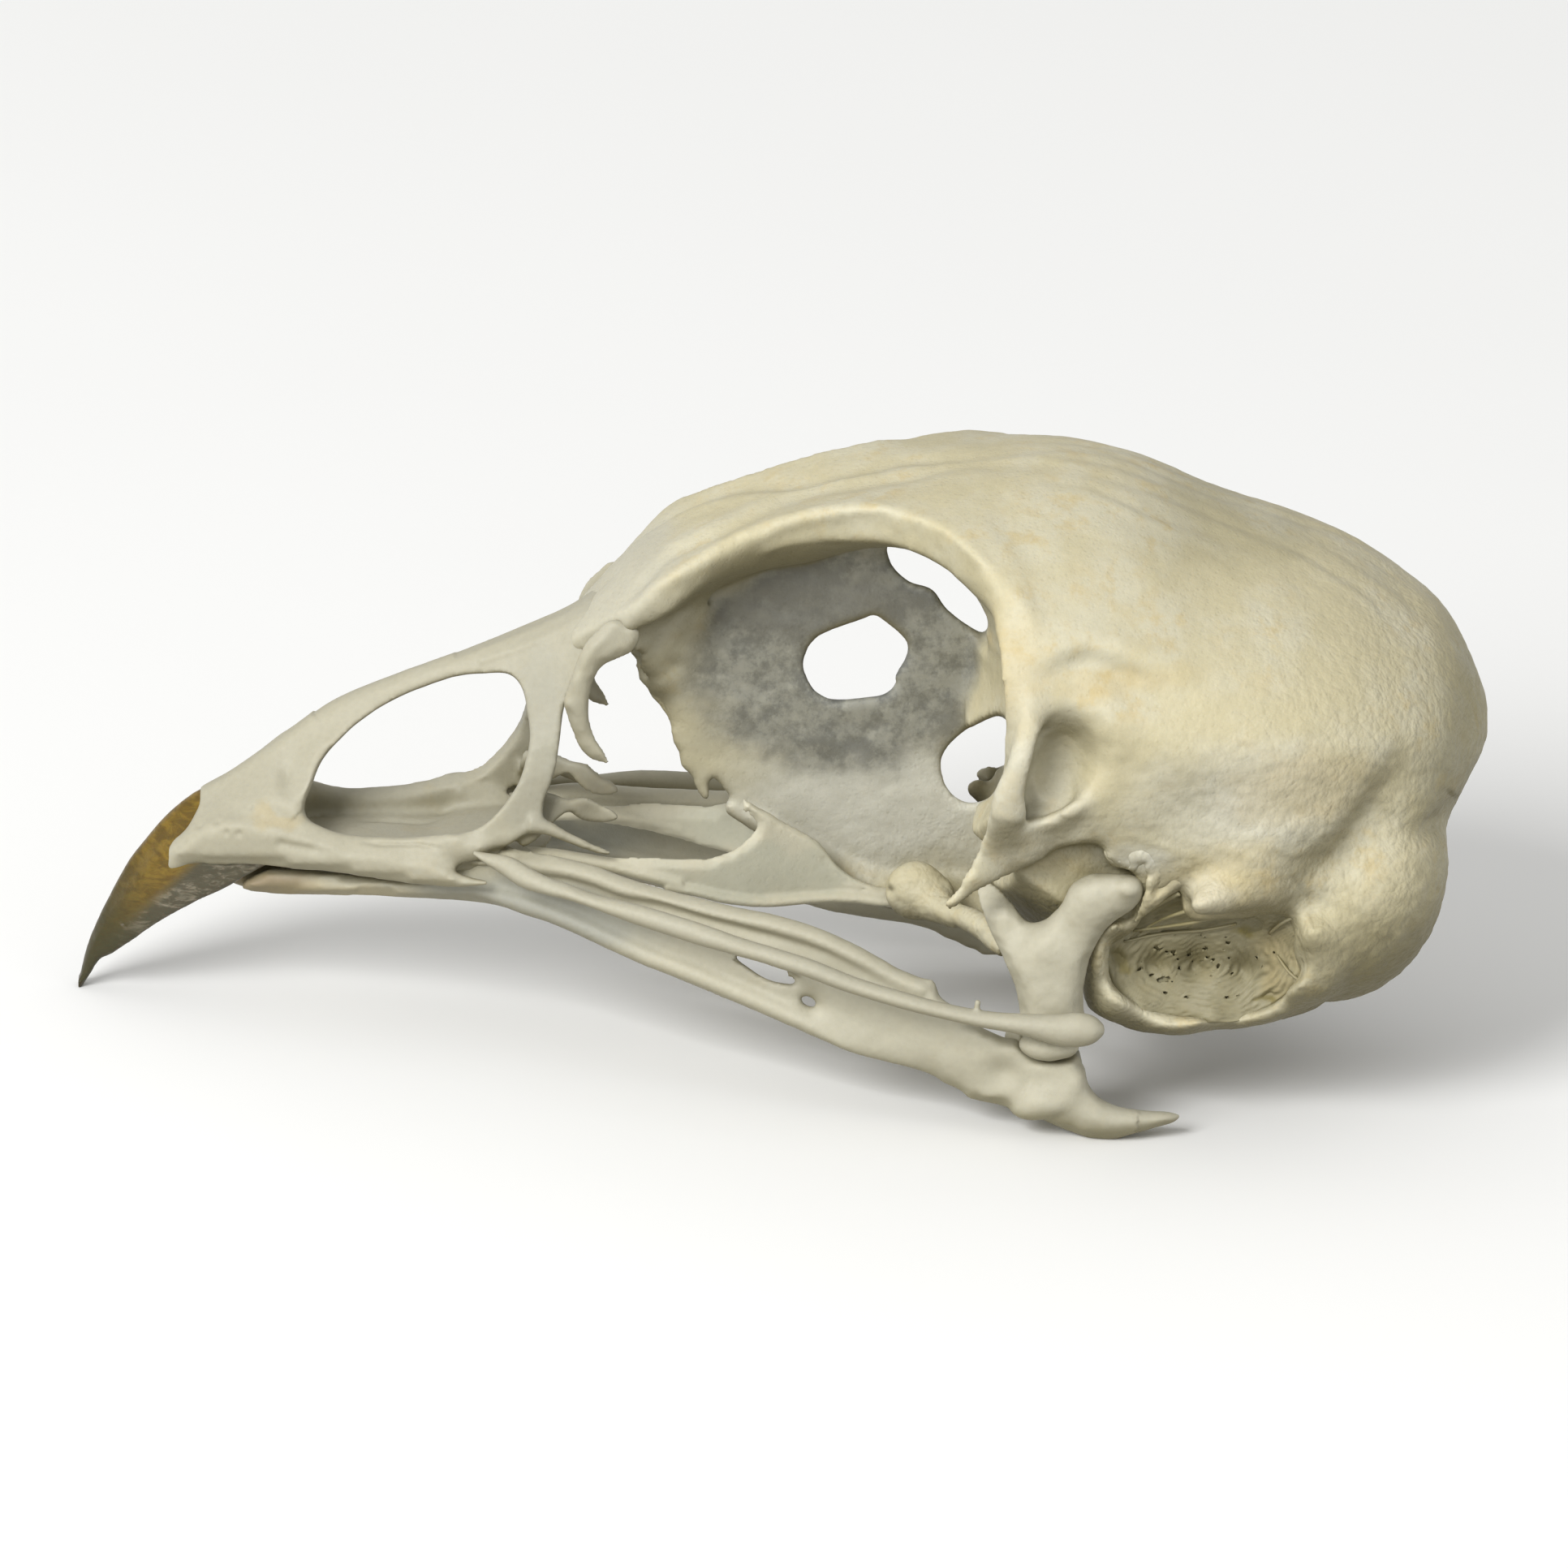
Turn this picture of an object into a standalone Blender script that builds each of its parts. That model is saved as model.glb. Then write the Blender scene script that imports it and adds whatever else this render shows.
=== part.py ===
"""A common quail's skull, life size, bill towards -X, lying at rest on the bill tip and the jaw angles."""

import math

import bmesh
import bpy
from mathutils import Matrix, Vector

# Driving sizes, in millimetres. The skull is shaped in its level frame: X runs back from the bill,
# Y across with the skull's left side at -Y, and Z up, with the origin half way along it. The rows of
# sizes below are those of a 40 mm skull, and the whole follows SKULL_LENGTH.
SKULL_LENGTH = 40.0
ROWS_LENGTH = 40.0
PITCH_RANGE_DEG = (2.0, 8.0)
BRAINCASE_HALF_WIDTH = 7.55
POSTORBITAL_HALF_WIDTH = 7.75
FRONTAL_WAIST = 2.25
SEPTUM_THICK = 0.6
JUGAL_HALF_DEPTH = 0.31
JUGAL_HALF_THICK = 0.27
PALATINE_THICK = 0.52
RAMUS_THICK = 0.75
NODE_GAP = 0.3
FLAT_DEPTH = 0.06

# How finely the bones are rebuilt: the grid's edge in millimetres.
GRID = 0.2

BONE_MATERIALS = {
    "bone_cream": (0.72, 0.65, 0.46, 1.0),
    "bone_ivory": (0.66, 0.61, 0.47, 1.0),
    "bone_grey": (0.42, 0.42, 0.36, 1.0),
    "horn_brown": (0.22, 0.15, 0.07, 1.0),
}


def clear_scene():
    for item in list(bpy.data.objects):
        bpy.data.objects.remove(item, do_unlink=True)


def bone_material(name):
    material = bpy.data.materials.new(name)
    material.use_nodes = True
    shader = material.node_tree.nodes["Principled BSDF"]
    shader.inputs["Base Color"].default_value = BONE_MATERIALS[name.split("-")[0]]
    shader.inputs["Roughness"].default_value = 0.55
    return material


def smooth_rows(rows, steps):
    """Rows of numbers, made finer with a smooth curve through each of them."""
    fine = []
    last = len(rows) - 1
    for index in range(last):
        before = rows[max(index - 1, 0)]
        start = rows[index]
        end = rows[index + 1]
        after = rows[min(index + 2, last)]
        for step in range(steps):
            t = step / steps
            row = []
            for a, b, c, d in zip(before, start, end, after):
                cubic = (-a + 3 * b - 3 * c + d) * t**3
                square = (2 * a - 5 * b + 4 * c - d) * t**2
                row.append(0.5 * (2 * b + (c - a) * t + square + cubic))
            fine.append(row)
    fine.append(list(rows[last]))
    return fine


def loft(rings):
    """A closed skin over rings of points, each ring with the same count, capped at both ends."""
    mesh = bmesh.new()
    loops = [[mesh.verts.new(point) for point in ring] for ring in rings]
    count = len(loops[0])
    for near, far in zip(loops[:-1], loops[1:]):
        for index in range(count):
            following = (index + 1) % count
            mesh.faces.new((near[index], near[following], far[following], far[index]))
    mesh.faces.new(list(reversed(loops[0])))
    mesh.faces.new(loops[-1])
    bmesh.ops.recalc_face_normals(mesh, faces=mesh.faces[:])
    return finished(mesh)


def finished(mesh):
    data = bpy.data.meshes.new("shape")
    mesh.to_mesh(data)
    mesh.free()
    shape = bpy.data.objects.new("shape", data)
    bpy.context.scene.collection.objects.link(shape)
    return shape


def shell_ring(x, low, wide, high, half_width, low_power, high_power, count):
    """A ring across the skull: widest at one height, rounded above and below it."""
    points = []
    for index in range(count):
        angle = 2 * math.pi * index / count
        side = math.cos(angle)
        rise = math.sin(angle)
        power = high_power if rise >= 0 else low_power
        depth = (high - wide) if rise >= 0 else (wide - low)
        y = half_width * math.copysign(abs(side) ** (2 / power), side)
        z = wide + depth * math.copysign(abs(rise) ** (2 / power), rise)
        points.append((x, y, z))
    return points


def roof_ring(x, half_width, top_mid, top_rim, low_rim, low_mid, count):
    """A ring round an arched plate that runs from rim to rim."""
    half = count // 2
    points = []
    for index in range(half + 1):
        across = -math.cos(math.pi * index / half)
        arch = 1 - across * across
        points.append((x, half_width * across, top_rim + (top_mid - top_rim) * arch))
    for index in range(half + 1):
        across = math.cos(math.pi * index / half)
        arch = 1 - across * across
        points.append((x, half_width * across, low_rim + (low_mid - low_rim) * arch))
    return points


def oval_tube(rows, sides=12, steps=4, side_hint=(0, 1, 0)):
    """A tube along a smooth path: rows of x, y, z, half thickness and half depth."""
    fine = smooth_rows(rows, steps)
    rings = []
    hint = Vector(side_hint)
    last = len(fine) - 1
    for index, row in enumerate(fine):
        behind = Vector(fine[max(index - 1, 0)][:3])
        ahead = Vector(fine[min(index + 1, last)][:3])
        along = (ahead - behind).normalized()
        up = along.cross(hint).normalized()
        across = up.cross(along).normalized()
        centre = Vector(row[:3])
        ring = []
        for corner in range(sides):
            angle = 2 * math.pi * corner / sides
            ring.append(
                centre
                + across * (row[3] * math.cos(angle))
                + up * (row[4] * math.sin(angle))
            )
        rings.append(ring)
    return loft(rings)


def ellipsoid(centre, radii, turn_deg=0.0, segments=20):
    mesh = bmesh.new()
    bmesh.ops.create_uvsphere(
        mesh, u_segments=segments, v_segments=segments // 2, radius=1.0
    )
    turn = Matrix.Rotation(math.radians(turn_deg), 4, "Y")
    size = Matrix.Diagonal((radii[0], radii[1], radii[2], 1.0))
    mesh.transform(Matrix.Translation(centre) @ turn @ size)
    return finished(mesh)


def plate(outline, middle, thickness):
    """A flat plate with an outline of x and z, standing across Y at its middle."""
    mesh = bmesh.new()
    near = [mesh.verts.new((x, middle - thickness / 2, z)) for x, z in outline]
    far = [mesh.verts.new((x, middle + thickness / 2, z)) for x, z in outline]
    count = len(outline)
    mesh.faces.new(near)
    mesh.faces.new(list(reversed(far)))
    for index in range(count):
        following = (index + 1) % count
        mesh.faces.new((near[index], far[index], far[following], near[following]))
    bmesh.ops.recalc_face_normals(mesh, faces=mesh.faces[:])
    return finished(mesh)


def block(low, high):
    mesh = bmesh.new()
    bmesh.ops.create_cube(mesh, size=1.0)
    size = [high[axis] - low[axis] for axis in range(3)]
    centre = [(high[axis] + low[axis]) / 2 for axis in range(3)]
    mesh.transform(Matrix.Translation(centre) @ Matrix.Diagonal((*size, 1.0)))
    return finished(mesh)


def mirrored(shapes):
    """The shapes and their mirror images on the skull's other side."""
    both = list(shapes)
    for shape in shapes:
        copy = shape.copy()
        copy.data = shape.data.copy()
        copy.data.transform(Matrix.Diagonal((1.0, -1.0, 1.0, 1.0)))
        copy.data.flip_normals()
        bpy.context.scene.collection.objects.link(copy)
        both.append(copy)
    return both


def joined(shapes, solver="EXACT"):
    """One union of the first shape with a collection of the others, which then go."""
    first = shapes[0]
    if len(shapes) > 1:
        others = bpy.data.collections.new("pieces")
        bpy.context.scene.collection.children.link(others)
        for shape in shapes[1:]:
            others.objects.link(shape)
        union = first.modifiers.new("union", "BOOLEAN")
        union.operation = "UNION"
        union.solver = solver
        union.operand_type = "COLLECTION"
        union.collection = others
        settle(first)
        for shape in shapes[1:]:
            bpy.data.objects.remove(shape, do_unlink=True)
        bpy.data.collections.remove(others)
    return first


def settle(shape):
    """Applies the shape's modifiers."""
    graph = bpy.context.evaluated_depsgraph_get()
    data = bpy.data.meshes.new_from_object(shape.evaluated_get(graph))
    shape.modifiers.clear()
    shape.data = data
    return shape


def rebuilt(shape, grid):
    remesh = shape.modifiers.new("rebuild", "REMESH")
    remesh.mode = "VOXEL"
    remesh.voxel_size = grid
    remesh.adaptivity = 0.0
    return settle(shape)


def cut(shape, cutters):
    for cutter in cutters:
        away = shape.modifiers.new("cut", "BOOLEAN")
        away.operation = "DIFFERENCE"
        away.solver = "MANIFOLD"
        away.object = cutter
    settle(shape)
    for cutter in cutters:
        bpy.data.objects.remove(cutter, do_unlink=True)
    return shape


def largest_body(shape):
    """Keeps only the largest closed surface."""
    mesh = bmesh.new()
    mesh.from_mesh(shape.data)
    unseen = set(mesh.verts)
    bodies = []
    while unseen:
        body = set()
        waiting = [unseen.pop()]
        while waiting:
            vertex = waiting.pop()
            body.add(vertex)
            for edge in vertex.link_edges:
                other = edge.other_vert(vertex)
                if other in unseen:
                    unseen.discard(other)
                    waiting.append(other)
        bodies.append(body)
    bodies.sort(key=len, reverse=True)
    for body in bodies[1:]:
        bmesh.ops.delete(mesh, geom=list(body), context="VERTS")
    mesh.to_mesh(shape.data)
    mesh.free()
    return shape


def bone(pieces, cutters, triangles, passes=6, grid=GRID, swell=0.05):
    """One bone: its pieces joined, its hollows cut, its surface rounded and made light."""
    shape = rebuilt(largest_body(joined(pieces)), grid)
    if cutters:
        cut(shape, cutters)
        rebuilt(shape, grid)
    largest_body(shape)
    rounding = shape.modifiers.new("round", "SMOOTH")
    rounding.factor = 0.5
    rounding.iterations = passes
    fuller = shape.modifiers.new("full", "DISPLACE")
    fuller.mid_level = 0.0
    fuller.strength = swell
    settle(shape)
    shape.data.calc_loop_triangles()
    lighter = shape.modifiers.new("light", "DECIMATE")
    lighter.ratio = min(1.0, triangles / len(shape.data.loop_triangles))
    lighter.use_collapse_triangulate = True
    return settle(shape)


def braincase():
    # x, lowest, widest level, highest, half width
    rows = [
        (5.2, -1.4, 5.3, 9.55, 6.0),
        (6.0, -2.6, 5.0, 9.8, 7.1),
        (7.0, -3.6, 4.6, 9.95, 7.5),
        (8.7, -4.7, 4.0, 9.8, 7.6),
        (10.2, -5.5, 3.6, 9.35, BRAINCASE_HALF_WIDTH),
        (12.1, -6.2, 3.2, 8.5, 7.5),
        (14.1, -6.2, 3.0, 7.8, 7.15),
        (16.1, -5.5, 2.8, 6.95, 6.35),
        (17.4, -4.3, 2.6, 6.15, 5.5),
        (18.2, -2.6, 2.4, 5.6, 4.7),
        (18.7, -1.1, 2.35, 5.1, 4.1),
        (19.2, 0.0, 2.3, 4.4, 3.3),
        (19.75, 0.95, 2.1, 3.25, 1.9),
        (20.0, 1.5, 2.0, 2.5, 0.6),
    ]
    rings = [
        shell_ring(x, low, wide, high, half, 2.15, 2.0, 40)
        for x, low, wide, high, half in smooth_rows(rows, 3)
    ]
    return loft(rings)


def brain_cavity():
    # x, lowest, widest level, highest, half width
    rows = [
        (7.6, 1.6, 4.2, 6.9, 2.8),
        (8.3, -0.4, 4.1, 8.0, 4.9),
        (9.5, -1.7, 3.8, 8.3, 5.9),
        (11.1, -2.4, 3.5, 7.85, 6.35),
        (12.9, -2.6, 3.2, 7.2, 6.2),
        (14.7, -2.4, 3.0, 6.55, 5.7),
        (16.2, -1.9, 2.8, 5.85, 4.8),
        (17.3, -1.0, 2.6, 5.1, 3.6),
        (18.1, 0.4, 2.3, 4.1, 1.8),
    ]
    rings = [
        shell_ring(x, low, wide, high, half, 2.1, 2.0, 32)
        for x, low, wide, high, half in smooth_rows(rows, 2)
    ]
    return loft(rings)


def frontal_roof():
    # x, half width, top in the middle, top at the rim, underside at the rim, underside in the middle
    rows = [
        (-5.1, 1.8, 6.2, 5.75, 4.9, 4.8),
        (-4.3, 2.7, 7.03, 6.6, 5.6, 5.6),
        (-3.2, 2.95, 7.65, 7.35, 6.35, 6.3),
        (-2.4, 2.7, 8.03, 7.87, 7.1, 7.0),
        (-1.4, 2.4, 8.4, 8.4, 7.65, 7.5),
        (-0.4, 2.25, 8.7, 8.75, 8.05, 7.85),
        (0.6, FRONTAL_WAIST, 8.95, 9.05, 8.3, 8.1),
        (1.6, 2.4, 9.2, 9.25, 8.45, 8.25),
        (2.6, 2.7, 9.4, 9.4, 8.4, 8.2),
        (3.6, 3.2, 9.55, 9.35, 8.28, 8.1),
        (4.6, 4.05, 9.7, 9.2, 8.03, 7.8),
        (5.5, 5.2, 9.8, 8.8, 7.5, 7.0),
        (6.3, 6.2, 9.82, 8.1, 7.05, 6.2),
        (7.2, 6.6, 9.75, 7.2, 6.2, 5.4),
    ]
    rings = [roof_ring(*row, 24) for row in smooth_rows(rows, 3)]
    return loft(rings)


def cranium():
    rim = POSTORBITAL_HALF_WIDTH
    postorbital = oval_tube(
        [
            (5.6, -6.4, 7.6, 0.45, 0.4),
            (6.2, -7.2, 6.7, 0.5, 0.42),
            (6.7, -rim, 5.7, 0.45, 0.4),
            (6.8, -rim, 4.9, 0.42, 0.4),
            (6.55, -rim, 3.9, 0.42, 0.48),
            (6.4, -rim, 2.7, 0.4, 0.5),
            (6.3, -rim, 1.7, 0.4, 0.52),
            (5.85, -7.6, 0.7, 0.36, 0.62),
            (5.0, -7.4, -0.5, 0.32, 0.45),
            (3.85, -7.1, -1.8, 0.2, 0.16),
        ]
    )
    zygomatic = oval_tube(
        [
            (9.9, -7.2, 3.03, 0.6, 0.6),
            (8.9, -7.6, 2.03, 0.4, 0.55),
            (7.6, -rim, 1.43, 0.38, 0.5),
            (6.3, -7.7, 0.81, 0.36, 0.55),
            (5.2, -7.5, -0.11, 0.3, 0.4),
        ]
    )
    otic_roof = ellipsoid((10.0, -6.2, 0.5), (1.7, 1.3, 1.1))
    mastoid = ellipsoid((15.6, -4.7, -2.5), (2.1, 1.7, 2.4), 25)
    nuchal = ellipsoid((17.5, -2.3, -1.9), (1.35, 2.0, 1.5))
    occiput = ellipsoid((17.0, -2.7, -3.4), (1.15, 1.6, 1.2))
    bulla = ellipsoid((10.9, -4.6, -4.98), (2.3, 1.3, 0.92), 2)
    condyle = ellipsoid((17.9, 0, -4.1), (0.9, 0.75, 0.7))
    base = ellipsoid((12.0, 0, -5.0), (4.2, 4.2, 2.0), 6)

    orbit = ellipsoid((0.2, -4.7, 4.4), (6.5, 7.4, 6.7), segments=32)
    lower_front = block((-1.0, -9.0, -6.0), (5.9, 9.0, -0.5))
    septum_seat = block((3.0, -2.4, -3.0), (5.95, 2.4, 7.0))
    optic_gap = oval_tube(
        [
            (5.6, -3.0, 2.25, 1.0, 0.75),
            (5.7, 0.0, 1.13, 1.05, 0.85),
            (5.7, 3.0, 0.01, 1.0, 0.8),
            (5.7, 5.6, -0.96, 0.9, 0.7),
        ]
    )
    vault = rebuilt(braincase(), GRID)
    cut(vault, mirrored([orbit, optic_gap]) + [lower_front, septum_seat])
    pieces = [vault, frontal_roof(), condyle, base]
    pieces += mirrored([postorbital, zygomatic, otic_roof, mastoid, nuchal, occiput, bulla])

    fenestra = ellipsoid((7.95, -8.1, 3.35), (0.85, 1.3, 1.2), -20)
    tympanic = ellipsoid((12.1, -6.9, -3.1), (2.4, 2.6, 1.35), -8)
    foramen_magnum = oval_tube(
        [
            (18.9, 0, -3.0, 1.7, 1.5),
            (17.0, 0, -1.6, 1.9, 1.7),
            (15.2, 0, -0.2, 2.0, 1.8),
            (13.6, 0, 0.8, 1.6, 1.5),
        ]
    )
    socket = quadrate_pieces(NODE_GAP + 0.05)
    cutters = mirrored([fenestra, tympanic] + socket) + [foramen_magnum, brain_cavity()]
    return bone(pieces, cutters, 4400)


def septum():
    outline = [
        (-4.2, 5.2),
        (-4.2, 3.7),
        (-3.88, 2.9),
        (-3.33, 1.7),
        (-3.08, 1.0),
        (-2.7, 0.3),
        (-2.4, -0.5),
        (-1.0, -0.8),
        (0.0, -1.4),
        (1.0, -2.1),
        (2.0, -2.8),
        (3.2, -3.2),
        (5.4, -3.5),
        (5.5, -0.7),
        (4.7, -0.45),
        (4.38, 0.3),
        (4.6, 1.1),
        (5.2, 1.7),
        (5.45, 2.6),
        (5.45, 4.2),
        (4.8, 5.05),
        (4.3, 5.82),
        (3.62, 6.22),
        (3.12, 6.75),
        (2.8, 7.75),
        (1.6, 7.8),
        (0.4, 7.6),
        (-0.6, 7.35),
        (-1.5, 6.95),
        (-2.4, 6.45),
        (-3.2, 5.8),
    ]
    hole = [
        (2.5, 5.1),
        (3.15, 4.75),
        (3.57, 4.2),
        (3.36, 3.36),
        (2.85, 2.6),
        (1.6, 2.44),
        (0.75, 2.8),
        (0.43, 3.6),
        (0.8, 4.4),
        (1.6, 4.82),
    ]
    sheet = plate(outline, 0, SEPTUM_THICK)
    rostrum = oval_tube(
        [
            (-2.5, 0, -0.1, 0.25, 0.3),
            (-1.0, 0, -0.85, 0.4, 0.42),
            (0.0, 0, -1.4, 0.45, 0.45),
            (1.0, 0, -2.1, 0.48, 0.48),
            (2.0, 0, -2.75, 0.5, 0.5),
            (3.2, 0, -3.2, 0.55, 0.55),
            (5.55, 0, -3.5, 0.9, 0.75),
        ]
    )
    return bone([sheet, rostrum], [plate(hole, 0, 3.0)], 900, passes=3)


def premaxilla_ring(x, top, mid, tomium, half_top, half_mid, half_low):
    """An arch of a ring: rounded over the culmen, with straighter sides to the cutting edge."""
    points = []
    profile = [
        (0.0, tomium + 0.35),
        (half_low - 0.5, tomium + 0.3),
        (half_low - 0.2, tomium),
        (half_low, tomium + 0.2),
        (half_mid, mid),
        (half_mid * 0.85 + half_top * 0.15, mid + (top - mid) * 0.4),
        (half_top, mid + (top - mid) * 0.8),
        (half_top * 0.5, mid + (top - mid) * 0.96),
        (0.0, top),
    ]
    for y, z in profile:
        points.append((x, -y, z))
    for y, z in reversed(profile[1:-1]):
        points.append((x, y, z))
    return points


def upper_bill():
    # x, culmen, side level, cutting edge, half widths at the top, the side and the edge
    body = [
        (-17.4, -1.55, -1.75, -2.0, 0.2, 0.5, 0.6),
        (-16.7, -0.2, -1.2, -2.0, 0.4, 1.1, 1.2),
        (-15.8, 0.35, -1.0, -1.9, 0.5, 1.4, 1.5),
        (-14.9, 1.0, -0.8, -1.85, 0.55, 1.65, 1.75),
        (-13.9, 1.8, -0.7, -1.9, 0.6, 1.85, 1.95),
        (-13.35, 2.2, -0.7, -1.9, 0.6, 1.9, 2.0),
    ]
    tip = loft([premaxilla_ring(*row) for row in smooth_rows(body, 3)])
    culmen = oval_tube(
        [
            (-13.7, 0, 1.4, 0.85, 0.6),
            (-12.5, 0, 2.19, 0.72, 0.48),
            (-11.5, 0, 2.7, 0.66, 0.4),
            (-10.0, 0, 3.33, 0.66, 0.36),
            (-8.5, 0, 3.9, 0.75, 0.38),
            (-7.4, 0, 4.36, 0.95, 0.4),
            (-6.3, 0, 4.8, 1.1, 0.36),
        ]
    )
    # x, half width, top in the middle, top at the rim, underside at the rim, underside in the middle
    nasal_roof = [
        (-7.9, 1.0, 4.5, 4.1, 3.5, 3.75),
        (-7.3, 1.7, 4.7, 3.85, 3.15, 4.1),
        (-6.6, 2.0, 5.0, 3.75, 2.95, 4.3),
        (-5.9, 2.0, 5.25, 4.35, 3.55, 4.5),
        (-5.3, 1.7, 5.7, 5.2, 4.6, 4.7),
    ]
    roof = loft([roof_ring(*row, 20) for row in smooth_rows(nasal_roof, 3)])
    tomial_bar = oval_tube(
        [
            (-13.9, -1.6, -1.3, 0.35, 0.62),
            (-12.4, -1.85, -1.38, 0.27, 0.6),
            (-11.0, -2.05, -1.46, 0.26, 0.64),
            (-9.7, -2.4, -1.46, 0.26, 0.7),
            (-9.0, -2.6, -1.6, 0.26, 0.5),
            (-8.45, -2.75, -1.9, 0.15, 0.14),
        ]
    )
    nasal_bar = oval_tube(
        [
            (-6.7, -1.5, 3.8, 0.3, 0.6),
            (-6.75, -1.95, 2.98, 0.27, 0.52),
            (-6.83, -2.25, 2.15, 0.26, 0.5),
            (-7.0, -2.5, 1.34, 0.26, 0.5),
            (-7.34, -2.65, 0.53, 0.26, 0.5),
            (-7.88, -2.75, -0.2, 0.26, 0.5),
            (-8.75, -2.65, -0.8, 0.26, 0.45),
            (-9.8, -2.45, -1.2, 0.26, 0.5),
        ]
    )
    spike = oval_tube(
        [
            (-7.8, -2.65, -0.35, 0.26, 0.35),
            (-6.9, -2.6, -0.4, 0.22, 0.22),
            (-5.0, -2.5, -1.2, 0.1, 0.1),
        ]
    )
    pieces = [tip, culmen, roof] + mirrored([tomial_bar, nasal_bar, spike])
    return bone(pieces, [], 1900, passes=4)


def bill_sheath():
    # x, culmen, side level, cutting edge, half widths at the top, the side and the edge
    rows = [
        (-20.1, -6.0, -6.1, -6.25, 0.1, 0.16, 0.18),
        (-19.85, -4.98, -5.45, -5.87, 0.16, 0.3, 0.32),
        (-19.55, -4.17, -4.75, -5.32, 0.2, 0.42, 0.45),
        (-19.15, -3.33, -4.2, -4.96, 0.28, 0.6, 0.65),
        (-18.65, -2.35, -3.5, -4.45, 0.34, 0.85, 0.9),
        (-17.85, -1.25, -2.4, -3.75, 0.4, 1.15, 1.2),
        (-17.2, -0.55, -1.8, -3.3, 0.45, 1.35, 1.4),
        (-16.6, 0.0, -1.4, -2.95, 0.5, 1.5, 1.5),
        (-15.7, 0.4, -1.0, -2.65, 0.5, 1.5, 1.55),
    ]
    horn = loft([premaxilla_ring(*row) for row in smooth_rows(rows, 3)])
    seat = plate(
        [(-16.75, 1.5), (-16.95, -0.6), (-17.7, -1.6), (-17.7, -2.3), (-15.0, -2.3), (-15.0, 1.5)],
        0,
        6.0,
    )
    return bone([horn], [seat], 420, passes=3, grid=0.15)


def lacrimal():
    blade = oval_tube(
        [
            (-4.3, -2.4, 5.10, 0.3, 0.4),
            (-4.8, -2.4, 5.05, 0.3, 0.42),
            (-5.4, -2.4, 4.69, 0.27, 0.42),
            (-5.9, -2.4, 3.93, 0.26, 0.38),
            (-5.94, -2.4, 3.14, 0.26, 0.34),
            (-5.75, -2.4, 2.42, 0.26, 0.32),
            (-5.45, -2.4, 1.9, 0.2, 0.25),
            (-5.05, -2.4, 1.53, 0.1, 0.12),
        ],
        steps=3,
    )
    return bone([blade], [], 200, passes=2, grid=0.12)


def jugal():
    depth = JUGAL_HALF_DEPTH
    thick = JUGAL_HALF_THICK
    rows = [
        (-8.3, -3.35, -1.05, 0.2, 0.12),
        (-7.6, -3.7, -1.2, thick, depth * 0.85),
        (-6.15, -4.55, -1.53, thick, depth * 0.9),
        (-4.1, -5.5, -1.93, thick, depth),
        (-2.4, -6.1, -2.27, thick, depth),
        (-0.1, -6.9, -2.79, thick, depth),
        (1.9, -7.15, -3.44, thick, depth),
        (3.7, -7.5, -3.88, thick, depth),
        (5.4, -7.65, -4.17, thick, depth),
        (6.8, -7.8, -4.42, thick + 0.05, depth + 0.1),
        (7.8, -7.9, -4.62, thick + 0.1, depth + 0.17),
        (8.7, -7.9, -4.72, thick, depth + 0.08),
        (9.15, -7.85, -4.78, 0.16, 0.2),
    ]
    return oval_tube(rows, sides=8, steps=2)


def palatine():
    # x, level across, lowest, highest
    rows = [
        (-12.6, 0.75, -1.55, -1.05),
        (-10.5, 0.85, -1.55, -1.05),
        (-8.0, 1.3, -1.6, -1.08),
        (-6.0, 1.85, -1.72, -1.16),
        (-4.1, 2.2, -2.12, -1.41),
        (-3.0, 2.2, -2.43, -1.51),
        (-2.0, 2.1, -2.69, -1.52),
        (-1.2, 1.95, -2.93, -1.12),
        (-0.5, 1.75, -3.07, -0.93),
        (0.3, 1.5, -3.2, -1.45),
        (1.4, 1.25, -3.36, -2.28),
        (2.6, 1.15, -3.45, -2.74),
    ]
    path = []
    for x, across, low, high in rows:
        path.append((x, -across, (low + high) / 2, PALATINE_THICK / 2, (high - low) / 2))
    return oval_tube(path, sides=10, steps=2)


def pterygoid():
    lump = ellipsoid((3.9, -1.75, -2.55), (0.95, 0.6, 0.95), segments=12)
    rod = oval_tube(
        [
            (3.9, -1.8, -2.75, 0.45, 0.48),
            (5.0, -3.0, -2.75, 0.32, 0.33),
            (5.9, -4.2, -3.0, 0.33, 0.33),
            (6.3, -4.75, -3.3, 0.33, 0.38),
        ],
        steps=3,
    )
    return bone([lump, rod], [], 240, passes=2, grid=0.15)


def quadrate_pieces(extra):
    """The quadrate's processes, each swollen by the extra, which leaves its clearance in the cranium."""
    otic = [
        (9.6, -6.0, -0.95, 0.6, 0.45),
        (8.9, -6.2, -1.4, 0.65, 0.85),
        (8.1, -6.3, -2.5, 0.55, 0.95),
        (7.55, -6.3, -3.7, 0.6, 1.0),
        (7.45, -6.3, -5.1, 0.8, 0.95),
    ]
    orbital = [
        (7.6, -6.2, -3.3, 0.5, 0.9),
        (6.7, -5.5, -2.65, 0.35, 0.8),
        (6.1, -4.8, -1.95, 0.28, 0.55),
        (5.7, -4.3, -1.4, 0.18, 0.3),
    ]
    pieces = []
    for rows in (otic, orbital):
        pieces.append(
            oval_tube([(x, y, z, a + extra, b + extra) for x, y, z, a, b in rows])
        )
    head = (9.75, -6.0, -0.9)
    pieces.append(ellipsoid(head, (0.5 + extra, 0.6 + extra, 0.45 + extra)))
    return pieces


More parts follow.
